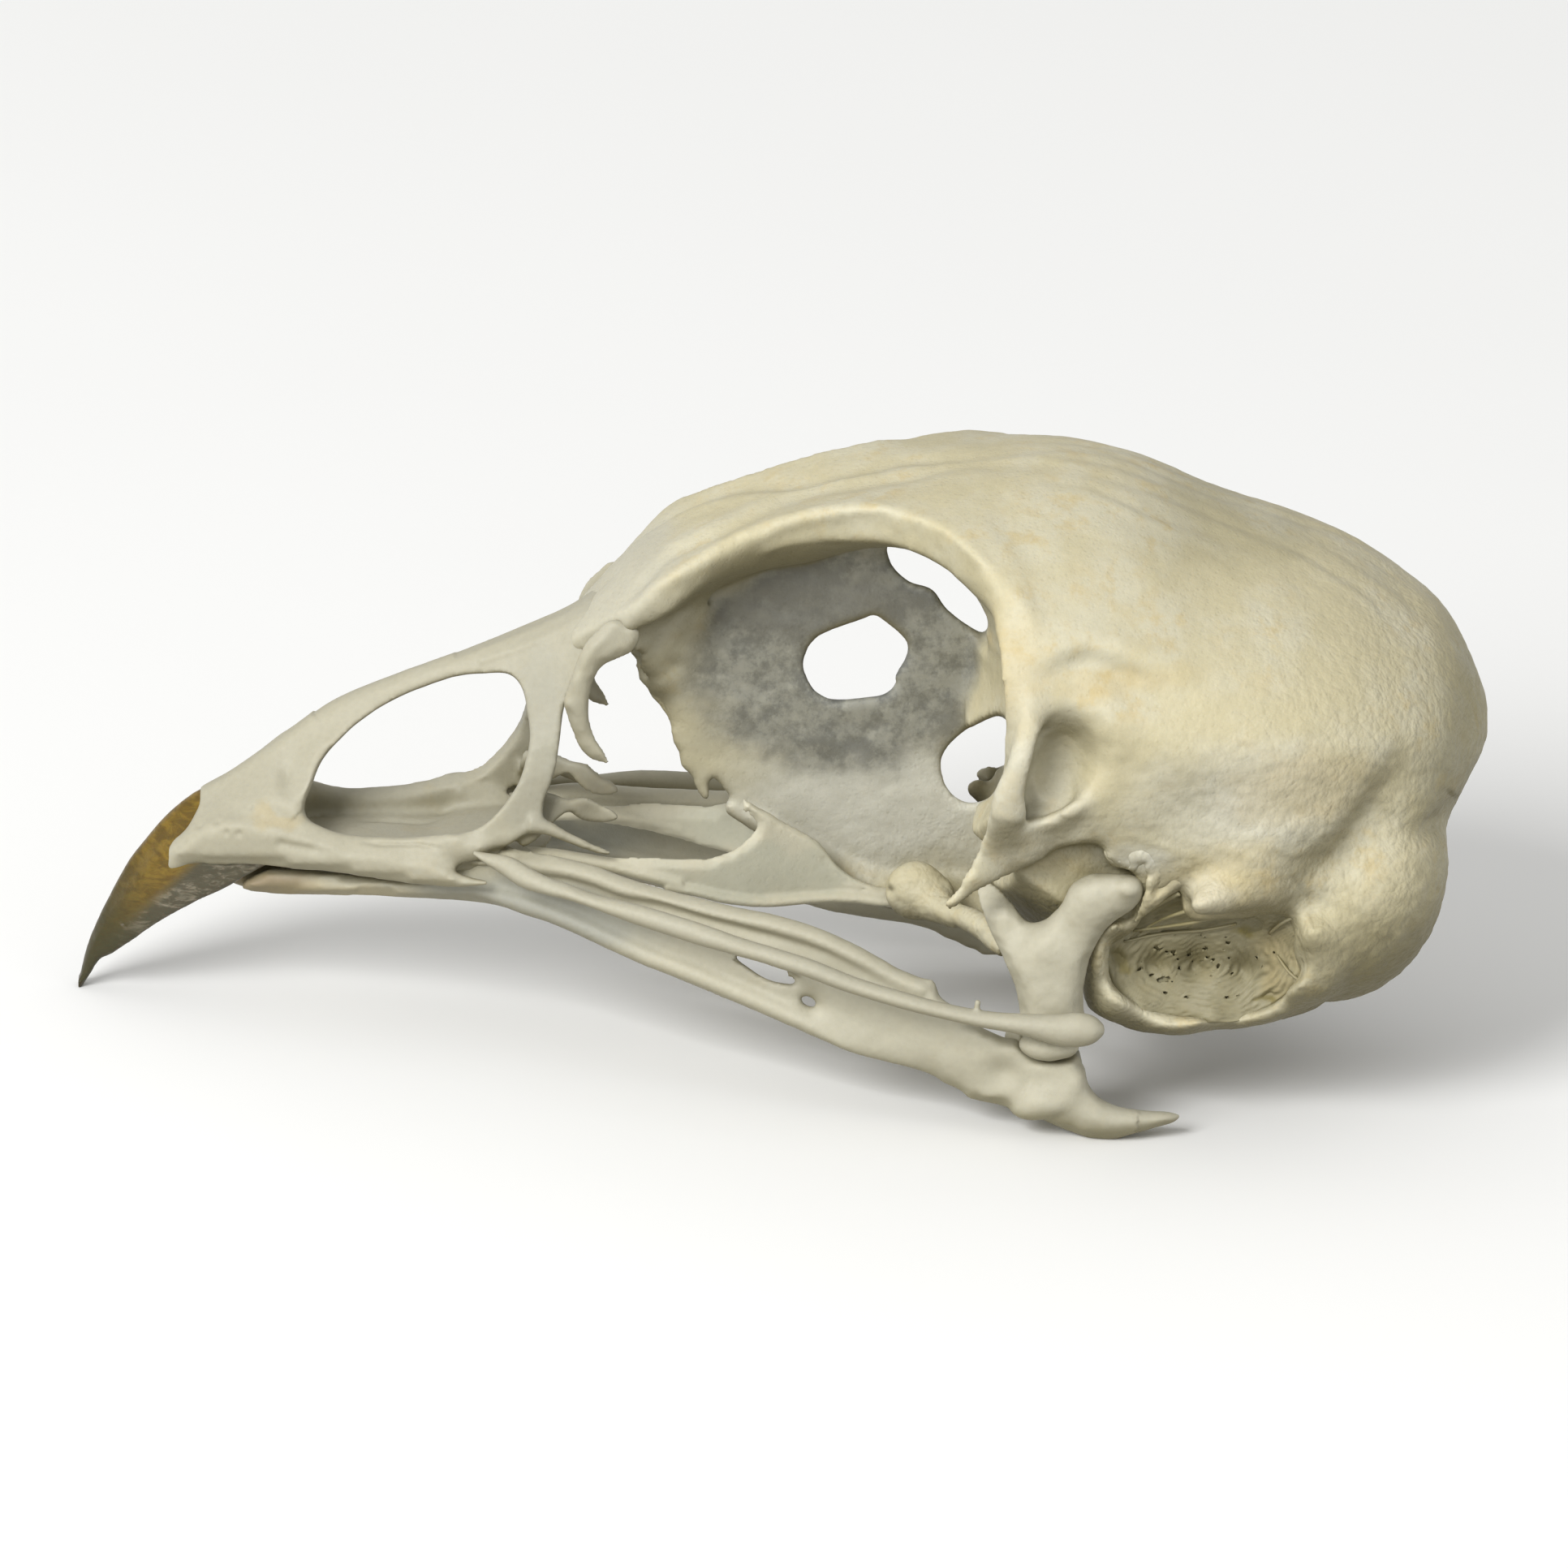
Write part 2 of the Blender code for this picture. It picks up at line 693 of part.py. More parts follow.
def quadrate():
    outer_condyle = ellipsoid((7.6, -6.8, -5.65), (0.8, 0.65, 0.55))
    inner_condyle = ellipsoid((7.3, -5.5, -5.6), (0.8, 0.7, 0.6))
    pieces = quadrate_pieces(0.0) + [outer_condyle, inner_condyle]
    return bone(pieces, [], 560, passes=3, grid=0.16)


def mandible():
    # x, level across, lowest, highest, thickness
    rows = [
        (-13.4, 0.85, -3.05, -2.35, 1.3),
        (-12.4, 1.15, -3.0, -2.38, 0.9),
        (-11.0, 1.4, -2.95, -2.3, RAMUS_THICK),
        (-9.4, 1.62, -2.94, -1.6, 0.62),
        (-8.0, 2.1, -3.0, -1.15, 0.66),
        (-6.3, 2.95, -3.28, -1.1, RAMUS_THICK),
        (-5.4, 3.3, -3.47, -1.25, RAMUS_THICK),
        (-4.5, 3.65, -3.78, -1.48, RAMUS_THICK),
        (-3.4, 4.05, -4.2, -1.66, RAMUS_THICK),
        (-1.5, 4.6, -4.78, -1.98, RAMUS_THICK),
        (0.1, 5.05, -5.31, -2.27, RAMUS_THICK),
        (2.0, 5.45, -6.01, -2.93, 0.85),
        (3.0, 5.65, -6.38, -3.47, 0.85),
        (3.9, 5.85, -6.68, -3.97, 0.9),
        (4.7, 6.0, -7.0, -4.72, 1.0),
        (5.6, 6.15, -7.33, -5.2, 1.1),
        (6.6, 6.25, -7.64, -6.1, 1.5),
        (7.5, 6.3, -7.9, -6.45, 1.9),
        (8.3, 6.3, -8.25, -6.95, 1.7),
        (8.9, 6.25, -8.42, -7.4, 1.2),
        (9.9, 6.15, -8.44, -7.6, 0.9),
        (10.7, 6.0, -8.27, -7.58, 0.8),
        (11.5, 5.8, -8.05, -7.7, 0.5),
    ]
    path = []
    for x, across, low, high, thick in rows:
        path.append((x, -across, (low + high) / 2, thick / 2, (high - low) / 2))
    ramus = oval_tube(path, sides=16, steps=3)
    medial = oval_tube(
        [
            (7.6, -6.1, -7.1, 0.6, 0.7),
            (8.0, -5.0, -6.8, 0.5, 0.5),
            (8.1, -4.1, -6.6, 0.3, 0.3),
        ],
        side_hint=(1, 0, 0),
    )
    back_lip = ellipsoid((8.25, -6.5, -6.6), (0.3, 0.8, 0.5))
    symphysis = loft(
        [
            shell_ring(x, low, (low + high) / 2 + 0.1, high, half, 2.0, 3.0, 24)
            for x, low, high, half in smooth_rows(
                [
                    (-15.9, -2.9, -2.35, 0.6),
                    (-15.2, -3.12, -2.3, 0.95),
                    (-14.2, -3.18, -2.28, 1.2),
                    (-13.3, -3.14, -2.3, 1.4),
                    (-12.7, -3.07, -2.35, 1.45),
                ],
                3,
            )
        ]
    )
    notch = block((-12.9, -0.75, -4.0), (-11.0, 0.75, -1.0))
    front_hole = ellipsoid((-0.35, -4.85, -3.85), (0.95, 2.0, 0.3), 24)
    back_hole = ellipsoid((0.67, -5.1, -4.6), (0.4, 2.0, 0.22), 20)
    pieces = [symphysis] + mirrored([ramus, medial, back_lip])
    cutters = [notch] + mirrored([front_hole, back_hole])
    return bone(pieces, cutters, 2400, passes=3)


def rest_matrix(tip, jaw):
    """From the level frame in millimetres to metres, pitched so that the bill tip and the jaw share one level."""

    def gap(pitch):
        turn = Matrix.Rotation(-math.radians(pitch), 3, "Y")
        lowest = [min((turn @ v.co).z for v in shape.data.vertices) for shape in (tip, jaw)]
        return lowest[0] - lowest[1]

    low, high = PITCH_RANGE_DEG
    for _ in range(24):
        pitch = (low + high) / 2
        if gap(pitch) > 0:
            low = pitch
        else:
            high = pitch
    print("rest pitch, degrees:", round(pitch, 4))
    scale = 0.001 * SKULL_LENGTH / ROWS_LENGTH
    return Matrix.Scale(scale, 4) @ Matrix.Rotation(-math.radians(pitch), 4, "Y")


def flat_below(shape):
    """Takes off whatever would be below the floor, which leaves a small flat."""
    mesh = bmesh.new()
    mesh.from_mesh(shape.data)
    everything = mesh.verts[:] + mesh.edges[:] + mesh.faces[:]
    result = bmesh.ops.bisect_plane(
        mesh, geom=everything, plane_co=(0, 0, 0), plane_no=(0, 0, -1), clear_outer=True
    )
    edges = [item for item in result["geom_cut"] if isinstance(item, bmesh.types.BMEdge)]
    if edges:
        bmesh.ops.holes_fill(mesh, edges=edges)
        bmesh.ops.triangulate(mesh, faces=mesh.faces[:])
    mesh.to_mesh(shape.data)
    mesh.free()


def place(name, shape, material):
    shape.name = name
    shape.data.name = name
    for face in shape.data.polygons:
        face.use_smooth = True
    shape.data.materials.clear()
    shape.data.materials.append(material)
    return shape


def other_side(shape):
    copy = shape.copy()
    copy.data = shape.data.copy()
    copy.data.transform(Matrix.Diagonal((1.0, -1.0, 1.0, 1.0)))
    copy.data.flip_normals()
    bpy.context.scene.collection.objects.link(copy)
    return copy


def main():
    clear_scene()
    nodes = {
        "cranium": (cranium(), "bone_cream"),
        "interorbital_septum": (septum(), "bone_grey"),
        "upper_bill": (upper_bill(), "bone_ivory"),
        "bill_sheath": (bill_sheath(), "horn_brown"),
        "mandible": (mandible(), "bone_ivory"),
    }
    for stem, maker in (
        ("lacrimal", lacrimal),
        ("jugal", jugal),
        ("palatine", palatine),
        ("pterygoid", pterygoid),
        ("quadrate", quadrate),
    ):
        left = maker()
        nodes[stem + "_left"] = (left, "bone_ivory")
        nodes[stem + "_right"] = (other_side(left), "bone_ivory")

    # The skull is pitched until the bill tip and the jaw angles share one level, then set on it.
    turn = rest_matrix(nodes["bill_sheath"][0], nodes["mandible"][0])
    for shape, _ in nodes.values():
        shape.data.transform(turn)
    corners = [
        vertex.co for shape, _ in nodes.values() for vertex in shape.data.vertices
    ]
    low = min(corner.z for corner in corners)
    middle = (min(c.x for c in corners) + max(c.x for c in corners)) / 2
    shift = Matrix.Translation((-middle, 0, -low - FLAT_DEPTH * 0.001))
    for name, (shape, colour) in nodes.items():
        shape.data.transform(shift)
        flat_below(shape)
        place(name, shape, bone_material(colour + "-" + name))
    return shift @ turn


SETTING = main()
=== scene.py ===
import math
import random

import bmesh
import bpy
import numpy
from mathutils import Matrix, Vector, noise
from mathutils.geometry import delaunay_2d_cdt


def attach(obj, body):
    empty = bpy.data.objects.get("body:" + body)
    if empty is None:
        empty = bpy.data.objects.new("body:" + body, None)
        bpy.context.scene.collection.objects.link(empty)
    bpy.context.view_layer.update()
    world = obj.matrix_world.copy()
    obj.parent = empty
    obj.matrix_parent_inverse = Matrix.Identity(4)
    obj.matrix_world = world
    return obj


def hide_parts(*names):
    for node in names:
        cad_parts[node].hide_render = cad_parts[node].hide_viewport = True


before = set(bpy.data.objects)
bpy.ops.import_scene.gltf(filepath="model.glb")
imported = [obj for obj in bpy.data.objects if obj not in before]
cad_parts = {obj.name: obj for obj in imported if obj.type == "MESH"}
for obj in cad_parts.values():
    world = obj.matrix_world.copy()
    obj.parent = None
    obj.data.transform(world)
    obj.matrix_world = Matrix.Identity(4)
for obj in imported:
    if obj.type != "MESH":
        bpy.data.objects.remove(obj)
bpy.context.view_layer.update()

# The bones are shaped in millimetres in the skull's own level frame: x back from the bill, the left side
# at minus y, z up. The stand values carry that frame to the floor, in metres.
stand = {
    "pitch": 4.4767,
    "shift": (-0.13032, 0.0, 7.66713),
    "lookDown": 20.5,
    "pixelsPerMm": 43.25,
    "pictureMiddle": 966.0,
    "pictureWidth": 1932.0,
}
setting = (
    Matrix.Scale(0.001, 4)
    @ Matrix.Translation(stand["shift"])
    @ Matrix.Rotation(-math.radians(stand["pitch"]), 4, "Y")
)
sinLook = math.sin(math.radians(stand["lookDown"]))
cosLook = math.cos(math.radians(stand["lookDown"]))
sightLine = Vector((0.0, cosLook, -sinLook))


def seen(u, v, side):  # the point that the side picture shows at u, v, this far out to the side
    along = (u - stand["pictureMiddle"]) / stand["pixelsPerMm"]
    rise = (stand["pictureMiddle"] - v) / stand["pixelsPerMm"]
    return Vector((along, side, (rise - side * sinLook) / cosLook))


# making and cutting shapes


def newShape(mesh):
    data = bpy.data.meshes.new("shape")
    mesh.to_mesh(data)
    mesh.free()
    shape = bpy.data.objects.new("shape", data)
    bpy.context.scene.collection.objects.link(shape)
    return shape


def smoothRows(rows, steps):  # a smooth curve through rows of numbers
    fine = []
    last = len(rows) - 1
    for index in range(last):
        before, start = rows[max(index - 1, 0)], rows[index]
        end, after = rows[index + 1], rows[min(index + 2, last)]
        for step in range(steps):
            t = step / steps
            fine.append(
                [
                    0.5
                    * (
                        2 * b
                        + (c - a) * t
                        + (2 * a - 5 * b + 4 * c - d) * t * t
                        + (3 * b - a - 3 * c + d) * t**3
                    )
                    for a, b, c, d in zip(before, start, end, after)
                ]
            )
    fine.append(list(rows[last]))
    return fine


def skin(rings):
    mesh = bmesh.new()
    loops = [[mesh.verts.new(point) for point in ring] for ring in rings]
    count = len(loops[0])
    for near, far in zip(loops[:-1], loops[1:]):
        for index in range(count):
            following = (index + 1) % count
            mesh.faces.new((near[index], near[following], far[following], far[index]))
    mesh.faces.new(list(reversed(loops[0])))
    mesh.faces.new(loops[-1])
    bmesh.ops.recalc_face_normals(mesh, faces=mesh.faces[:])
    return newShape(mesh)


def shellRing(x, low, wide, high, half, lowPower, highPower, count):
    ring = []
    for index in range(count):
        angle = 2 * math.pi * index / count
        side, rise = math.cos(angle), math.sin(angle)
        power = highPower if rise >= 0 else lowPower
        depth = (high - wide) if rise >= 0 else (wide - low)
        ring.append(
            (
                x,
                half * math.copysign(abs(side) ** (2 / power), side),
                wide + depth * math.copysign(abs(rise) ** (2 / power), rise),
            )
        )
    return ring


def roofRing(x, half, topMid, topRim, lowRim, lowMid, count):
    ring = []
    steps = count // 2
    for index in range(steps + 1):
        across = -math.cos(math.pi * index / steps)
        ring.append((x, half * across, topRim + (topMid - topRim) * (1 - across**2)))
    for index in range(steps + 1):
        across = math.cos(math.pi * index / steps)
        ring.append((x, half * across, lowRim + (lowMid - lowRim) * (1 - across**2)))
    return ring


def tube(rows, sides=20, steps=6, hint=(0, 1, 0)):  # rows of x, y, z, half thickness, half depth
    fine = smoothRows(rows, steps)
    rings = []
    for index, row in enumerate(fine):
        behind = Vector(fine[max(index - 1, 0)][:3])
        ahead = Vector(fine[min(index + 1, len(fine) - 1)][:3])
        along = (ahead - behind).normalized()
        up = along.cross(Vector(hint)).normalized()
        across = up.cross(along).normalized()
        rings.append(
            [
                Vector(row[:3])
                + across * (row[3] * math.cos(2 * math.pi * corner / sides))
                + up * (row[4] * math.sin(2 * math.pi * corner / sides))
                for corner in range(sides)
            ]
        )
    return skin(rings)


def seenTube(rows, sides=20, steps=6):  # rows of u, v, side, half thickness, half depth
    return tube([(*seen(u, v, side), thin, deep) for u, v, side, thin, deep in rows], sides, steps)


def ball(centre, radii, turn=(0, 0, 0), segments=36):
    mesh = bmesh.new()
    bmesh.ops.create_uvsphere(mesh, u_segments=segments, v_segments=segments // 2, radius=1.0)
    spin = Matrix.Identity(4)
    for axis, angle in zip("XYZ", turn):
        spin = Matrix.Rotation(math.radians(angle), 4, axis) @ spin
    mesh.transform(Matrix.Translation(centre) @ spin @ Matrix.Diagonal((*radii, 1.0)))
    return newShape(mesh)


def block(low, high):
    mesh = bmesh.new()
    bmesh.ops.create_cube(mesh, size=1.0)
    size = [b - a for a, b in zip(low, high)]
    middle = [(b + a) / 2 for a, b in zip(low, high)]
    mesh.transform(Matrix.Translation(middle) @ Matrix.Diagonal((*size, 1.0)))
    return newShape(mesh)


def roundLoop(outline, steps):
    count = len(outline)
    loop = []
    for index in range(count):
        four = [outline[(index + shift) % count] for shift in (-1, 0, 1, 2)]
        loop += smoothRows(four, steps)[steps : 2 * steps]
    return loop


def between(anchors):
    # one value, values along u from pairs, or a value at u, v from anchors, the nearer the stronger
    if not isinstance(anchors, (list, tuple)):
        return lambda u, v: anchors
    if len(anchors[0]) == 2:
        along, amounts = zip(*anchors)
        return lambda u, v: float(numpy.interp(u, along, amounts))

    def value(u, v):
        total = weight = 0.0
        for atU, atV, amount in anchors:
            pull = 1.0 / ((u - atU) ** 2 + (v - atV) ** 2 + 4.0)
            total += amount * pull
            weight += pull
        return total / weight

    return value


def inside(loop, u, v):
    odd = False
    for (au, av), (bu, bv) in zip(loop, loop[1:] + loop[:1]):
        if (av > v) != (bv > v) and u < (bu - au) * (v - av) / (bv - av) + au:
            odd = not odd
    return odd


def filled(loop, spacing):  # triangles over the outline, with how far each point is from its edge
    points = [Vector(point) for point in loop]
    rim = numpy.array(loop)
    ends = numpy.roll(rim, -1, axis=0)
    runs = ends - rim
    lengths = (runs**2).sum(axis=1) + 1e-9

    def away(u, v):
        t = numpy.clip(((u - rim[:, 0]) * runs[:, 0] + (v - rim[:, 1]) * runs[:, 1]) / lengths, 0, 1)
        return numpy.hypot(rim[:, 0] + t * runs[:, 0] - u, rim[:, 1] + t * runs[:, 1] - v).min()

    u = rim[:, 0].min() + spacing / 2
    while u < rim[:, 0].max():
        v = rim[:, 1].min() + spacing / 2
        while v < rim[:, 1].max():
            if inside(loop, u, v) and away(u, v) > spacing * 0.45:
                points.append(Vector((u, v)))
            v += spacing
        u += spacing
    found = delaunay_2d_cdt(points, [], [list(range(len(loop)))], 1, 0.01)
    return [(spot[0], spot[1], away(*spot)) for spot in found[0]], found[2]


def sheet(outline, side, thick, rounding=3, spacing=10.0, crosswise=False, edge=0.0):
    # a blade of bone with the outline that the picture shows, bent to lie at its side distances;
    # edge is how far in from its outline it is rounded off
    spots, faces = filled(roundLoop(outline, rounding), spacing)
    sideAt, thickAt = between(side), between(thick)
    mesh = bmesh.new()
    near, far = [], []
    for u, v, inward in spots:
        middle = seen(u, v, sideAt(u, v))
        full = 1.0
        if edge:
            full = max(0.12, math.sqrt(1 - (1 - min(inward / edge, 1.0)) ** 2))
        half = (Vector((0, 1, 0)) if crosswise else sightLine) * (thickAt(u, v) * full / 2)
        near.append(mesh.verts.new(middle - half))
        far.append(mesh.verts.new(middle + half))
    edges = set()
    for face in faces:
        mesh.faces.new([near[i] for i in face])
        mesh.faces.new([far[i] for i in reversed(face)])
        edges.update(zip(face, face[1:] + face[:1]))
    for a, b in edges:
        if (b, a) not in edges:
            mesh.faces.new((near[b], near[a], far[a], far[b]))
    bmesh.ops.recalc_face_normals(mesh, faces=mesh.faces[:])
    return newShape(mesh)


def sightHole(outline, nearSide, farSide, rounding=3):  # cuts along the line of sight
    loop = roundLoop(outline, rounding)
    return skin([[seen(u, v, nearSide) for u, v in loop], [seen(u, v, farSide) for u, v in loop]])


def bothSides(shapes):
    pair = list(shapes)
    for shape in shapes:
        other = shape.copy()
        other.data = shape.data.copy()
        other.data.transform(Matrix.Diagonal((1.0, -1.0, 1.0, 1.0)))
        other.data.flip_normals()
        bpy.context.scene.collection.objects.link(other)
        pair.append(other)
    return pair


def merged(shapes):
    mesh = bmesh.new()
    for shape in shapes:
        mesh.from_mesh(shape.data)
        bpy.data.objects.remove(shape, do_unlink=True)
    return newShape(mesh)


def settled(shape):
    graph = bpy.context.evaluated_depsgraph_get()
    data = bpy.data.meshes.new_from_object(shape.evaluated_get(graph))
    shape.modifiers.clear()
    shape.data = data
    return shape


def recast(shape, voxel):
    remesh = shape.modifiers.new("recast", "REMESH")
    remesh.mode = "VOXEL"
    remesh.voxel_size = voxel
    return settled(shape)


def carved(shape, cutters):
    for cutter in cutters:
        away = shape.modifiers.new("carve", "BOOLEAN")
        away.operation = "DIFFERENCE"
        away.solver = "MANIFOLD"
        away.object = cutter
    settled(shape)
    for cutter in cutters:
        bpy.data.objects.remove(cutter, do_unlink=True)
    return shape


def smoothed(shape, passes, swell):
    soft = shape.modifiers.new("soft", "SMOOTH")
    soft.factor = 0.5
    soft.iterations = passes
    fuller = shape.modifiers.new("full", "DISPLACE")
    fuller.mid_level = 0.0
    fuller.strength = swell
    return settled(shape)


def mainBody(shape):
    mesh = bmesh.new()
    mesh.from_mesh(shape.data)
    mesh.verts.ensure_lookup_table()
    mark = [-1] * len(mesh.verts)
    sizes = []
    for start in mesh.verts:
        if mark[start.index] >= 0:
            continue
        mark[start.index] = len(sizes)
        waiting, size = [start], 0
        while waiting:
            vertex = waiting.pop()
            size += 1
            for edge in vertex.link_edges:
                other = edge.other_vert(vertex)
                if mark[other.index] < 0:
                    mark[other.index] = len(sizes)
                    waiting.append(other)
        sizes.append(size)
    keep = sizes.index(max(sizes))
    loose = [vertex for vertex in mesh.verts if mark[vertex.index] != keep]
    bmesh.ops.delete(mesh, geom=loose, context="VERTS")
    mesh.to_mesh(shape.data)
    mesh.free()
    return shape


def bone(pieces, cutters, cast):  # one bone from overlapping pieces, less what the cutters take away
    shape = recast(merged(pieces), cast["voxel"])
    if cutters:
        carved(shape, cutters)
        recast(shape, cast["voxel"])
    return smoothed(mainBody(shape), cast["smoothPasses"], cast["swell"])


class Surface:  # a bone's skin, worked as if both sides were the near one
    def __init__(self, shape):
        self.shape = shape
        self.points = numpy.empty(len(shape.data.vertices) * 3)
        shape.data.vertices.foreach_get("co", self.points)
        self.points = self.points.reshape(-1, 3)
        self.ends = numpy.empty(len(shape.data.edges) * 2, dtype=numpy.int64)
        shape.data.edges.foreach_get("vertices", self.ends)
        self.ends = self.ends.reshape(-1, 2)
        self.place()

    def place(self):
        data = self.shape.data
        data.vertices.foreach_set("co", self.points.ravel())
        data.update()
        self.out = numpy.empty(len(data.vertices) * 3)
        data.vertex_normals.foreach_get("vector", self.out)
        self.out = self.out.reshape(-1, 3)
        x, y, z = self.points.T
        scale, middle = stand["pixelsPerMm"], stand["pictureMiddle"]
        self.u = middle + scale * x
        self.v = middle - scale * (z * cosLook - numpy.abs(y) * sinLook)
        outward = numpy.where(y > 0, -self.out[:, 1], self.out[:, 1])
        self.facing = numpy.clip((-outward * cosLook + self.out[:, 2] * sinLook) * 3, 0, 1)
        self.side = numpy.abs(y)

    def reached(self, path):  # how far each point is from the path, and how far along it
        best = numpy.full(len(self.u), 1e9)
        run = numpy.zeros(len(self.u))
        count = max(len(path) - 1, 1)
        for index, ((au, av), (bu, bv)) in enumerate(zip(path, path[1:] or path)):
            du, dv = bu - au, bv - av
            t = numpy.clip(((self.u - au) * du + (self.v - av) * dv) / (du * du + dv * dv + 1e-9), 0, 1)
            away = numpy.hypot(self.u - au - t * du, self.v - av - t * dv)
            run = numpy.where(away < best, (index + t) / count, run)
            best = numpy.minimum(best, away)
        return best / stand["pixelsPerMm"], run

    def soften(self, path, width, passes, beyond=0.0):
        # a smoothing brush along a path, only where the skin is this far out to the side or more
        count = len(self.points)
        away = self.reached(path)[0]
        weight = (numpy.exp(-((away / width) ** 4)) * (self.side >= beyond) * 0.6)[:, None]
        a, b = self.ends.T
        joins = numpy.bincount(self.ends.ravel(), minlength=count)[:, None]
        for _ in range(passes):
            middle = numpy.stack(
                [
                    numpy.bincount(a, self.points[b, axis], count)
                    + numpy.bincount(b, self.points[a, axis], count)
                    for axis in range(3)
                ],
                axis=1,
            )
            self.points = self.points + (middle / joins - self.points) * weight
        self.place()

    def push(self, strength):
        self.points = self.points + self.out * strength[:, None]

    def stroke(self, path, width, depth, beyond=0.0, ends=(0.0, 0.0)):
        # a raised line, or a groove where depth is negative; ends are the shares of it that fade in and out
        away, run = self.reached(path)
        fadeIn, fadeOut = [max(end, 1e-3) for end in ends]
        fade = numpy.clip(run / fadeIn, 0, 1) * numpy.clip((1 - run) / fadeOut, 0, 1)
        near = self.side >= beyond
        self.push(depth * numpy.exp(-((away / width) ** 2)) * fade * self.facing * near)

    def dab(self, u, v, width, depth, tall=None, turn=0.0):  # a bump, or a dent where depth is negative
        angle = math.radians(turn)
        du, dv = self.u - u, self.v - v
        along = (du * math.cos(angle) + dv * math.sin(angle)) / stand["pixelsPerMm"]
        over = (dv * math.cos(angle) - du * math.sin(angle)) / stand["pixelsPerMm"]
        amount = numpy.exp(-((along / width) ** 2) - (over / (tall or width)) ** 2)
        self.push(depth * amount * self.facing)

    def roughen(self, size, depth, layers=2, seed=0.0, where=1.0):
        shift = Vector((seed, seed * 1.7, -seed))
        grain = numpy.zeros(len(self.points))
        for index, point in enumerate(self.points):
            spot = Vector(point) / size + shift
            grain[index] = noise.fractal(spot, 1.0, 2.0, layers)
        self.push(grain * depth * where)

    def done(self):
        self.place()
        return self.shape


# wiring materials


class Wire:  # a socket that adds Math nodes when it is used in arithmetic
    def __init__(self, tree, socket=None):
        self.tree = tree
        self.socket = socket

    def plug(self, entry, value):
        if isinstance(value, Wire):
            self.tree.links.new(value.socket, entry)
        else:
            entry.default_value = value

    def node(self, kind, settings=None, values=None, out=0):
        made = self.tree.nodes.new(kind)
        for name, value in (settings or {}).items():
            setattr(made, name, value)
        for name, value in (values or {}).items():
            self.plug(made.inputs[name], value)
        return Wire(self.tree, made.outputs[out])

    def math(self, kind, *others):
        values = dict(enumerate((self, *others)))
        return self.node("ShaderNodeMath", {"operation": kind}, values)

    def __add__(self, other):
        return self.math("ADD", other)

    __radd__ = __add__

    def __sub__(self, other):
        return self.math("SUBTRACT", other)

    def __rsub__(self, other):
        return self.node("ShaderNodeMath", {"operation": "SUBTRACT"}, {0: other, 1: self})

    def __mul__(self, other):
        return self.math("MULTIPLY", other)

    __rmul__ = __mul__

    def rise(self, low, high):  # 0 below low, 1 above high, smooth between
        values = {"Value": self, "From Min": low, "From Max": high}
        return self.node("ShaderNodeMapRange", {"interpolation_type": "SMOOTHSTEP"}, values)

    def blend(self, factor, first, second, how="MIX"):
        settings = {"data_type": "RGBA", "blend_type": how}
        return self.node("ShaderNodeMix", settings, {0: factor, 6: first, 7: second}, 2)

    def cloud(self, point, scale, detail=3.0, rough=0.55, warp=0.0):
        values = {"Vector": point, "Scale": scale, "Detail": detail}
        values.update({"Roughness": rough, "Distortion": warp})
        return self.node("ShaderNodeTexNoise", {}, values)

    def cells(self, point, scale, feature="F1"):
        values = {"Vector": point, "Scale": scale}
        return self.node("ShaderNodeTexVoronoi", {"feature": feature}, values)

    def shifted(self, point, amount):
        return self.node("ShaderNodeVectorMath", {"operation": "ADD"}, {0: point, 1: amount})

    def scaled(self, point, amount):
        return self.node("ShaderNodeVectorMath", {"operation": "MULTIPLY"}, {0: point, 1: amount})

    def drifted(self, point, drift, amounts):  # the point moved about, so that no edge runs true
        return self.shifted(point, self.scaled(drift, amounts))

    def toned(self, colour, tone):  # the colour times a number that varies
        grey = self.node("ShaderNodeCombineColor", {}, {0: tone, 1: tone, 2: tone})
        return self.blend(1.0, colour, grey, "MULTIPLY")

    def skullPoint(self):  # the surface point in the skull's own frame, in millimetres
        here = self.node("ShaderNodeTexCoord", {}, {}, 3)
        place = setting.decompose()
        values = {
            "Vector": here,
            "Location": place[0],
            "Rotation": place[1].to_euler(),
            "Scale": place[2],
        }
        return self.node("ShaderNodeMapping", {"vector_type": "TEXTURE"}, values)

    def parts(self, point):
        return [self.node("ShaderNodeSeparateXYZ", {}, {0: point}, axis) for axis in range(3)]

    def patch(self, point, centre, radii, soft=0.35):
        # 1 inside an oval patch and 0 outside it
        away = self.shifted(point, [-c for c in centre])
        away = self.scaled(away, [1 / r for r in radii])
        length = self.node("ShaderNodeVectorMath", {"operation": "LENGTH"}, {0: away}, 1)
        return 1 - length.rise(1 - soft, 1 + soft)


def newMaterial(name, roughness, more=None):
    material = bpy.data.materials.new(name)
    material.use_nodes = True
    tree = material.node_tree
    tree.nodes.clear()
    shader = tree.nodes.new("ShaderNodeBsdfPrincipled")
    ending = tree.nodes.new("ShaderNodeOutputMaterial")
    tree.links.new(shader.outputs[0], ending.inputs[0])
    shader.inputs["Roughness"].default_value = roughness
    for key, value in (more or {}).items():
        shader.inputs[key].default_value = value
    return material, shader, Wire(tree)


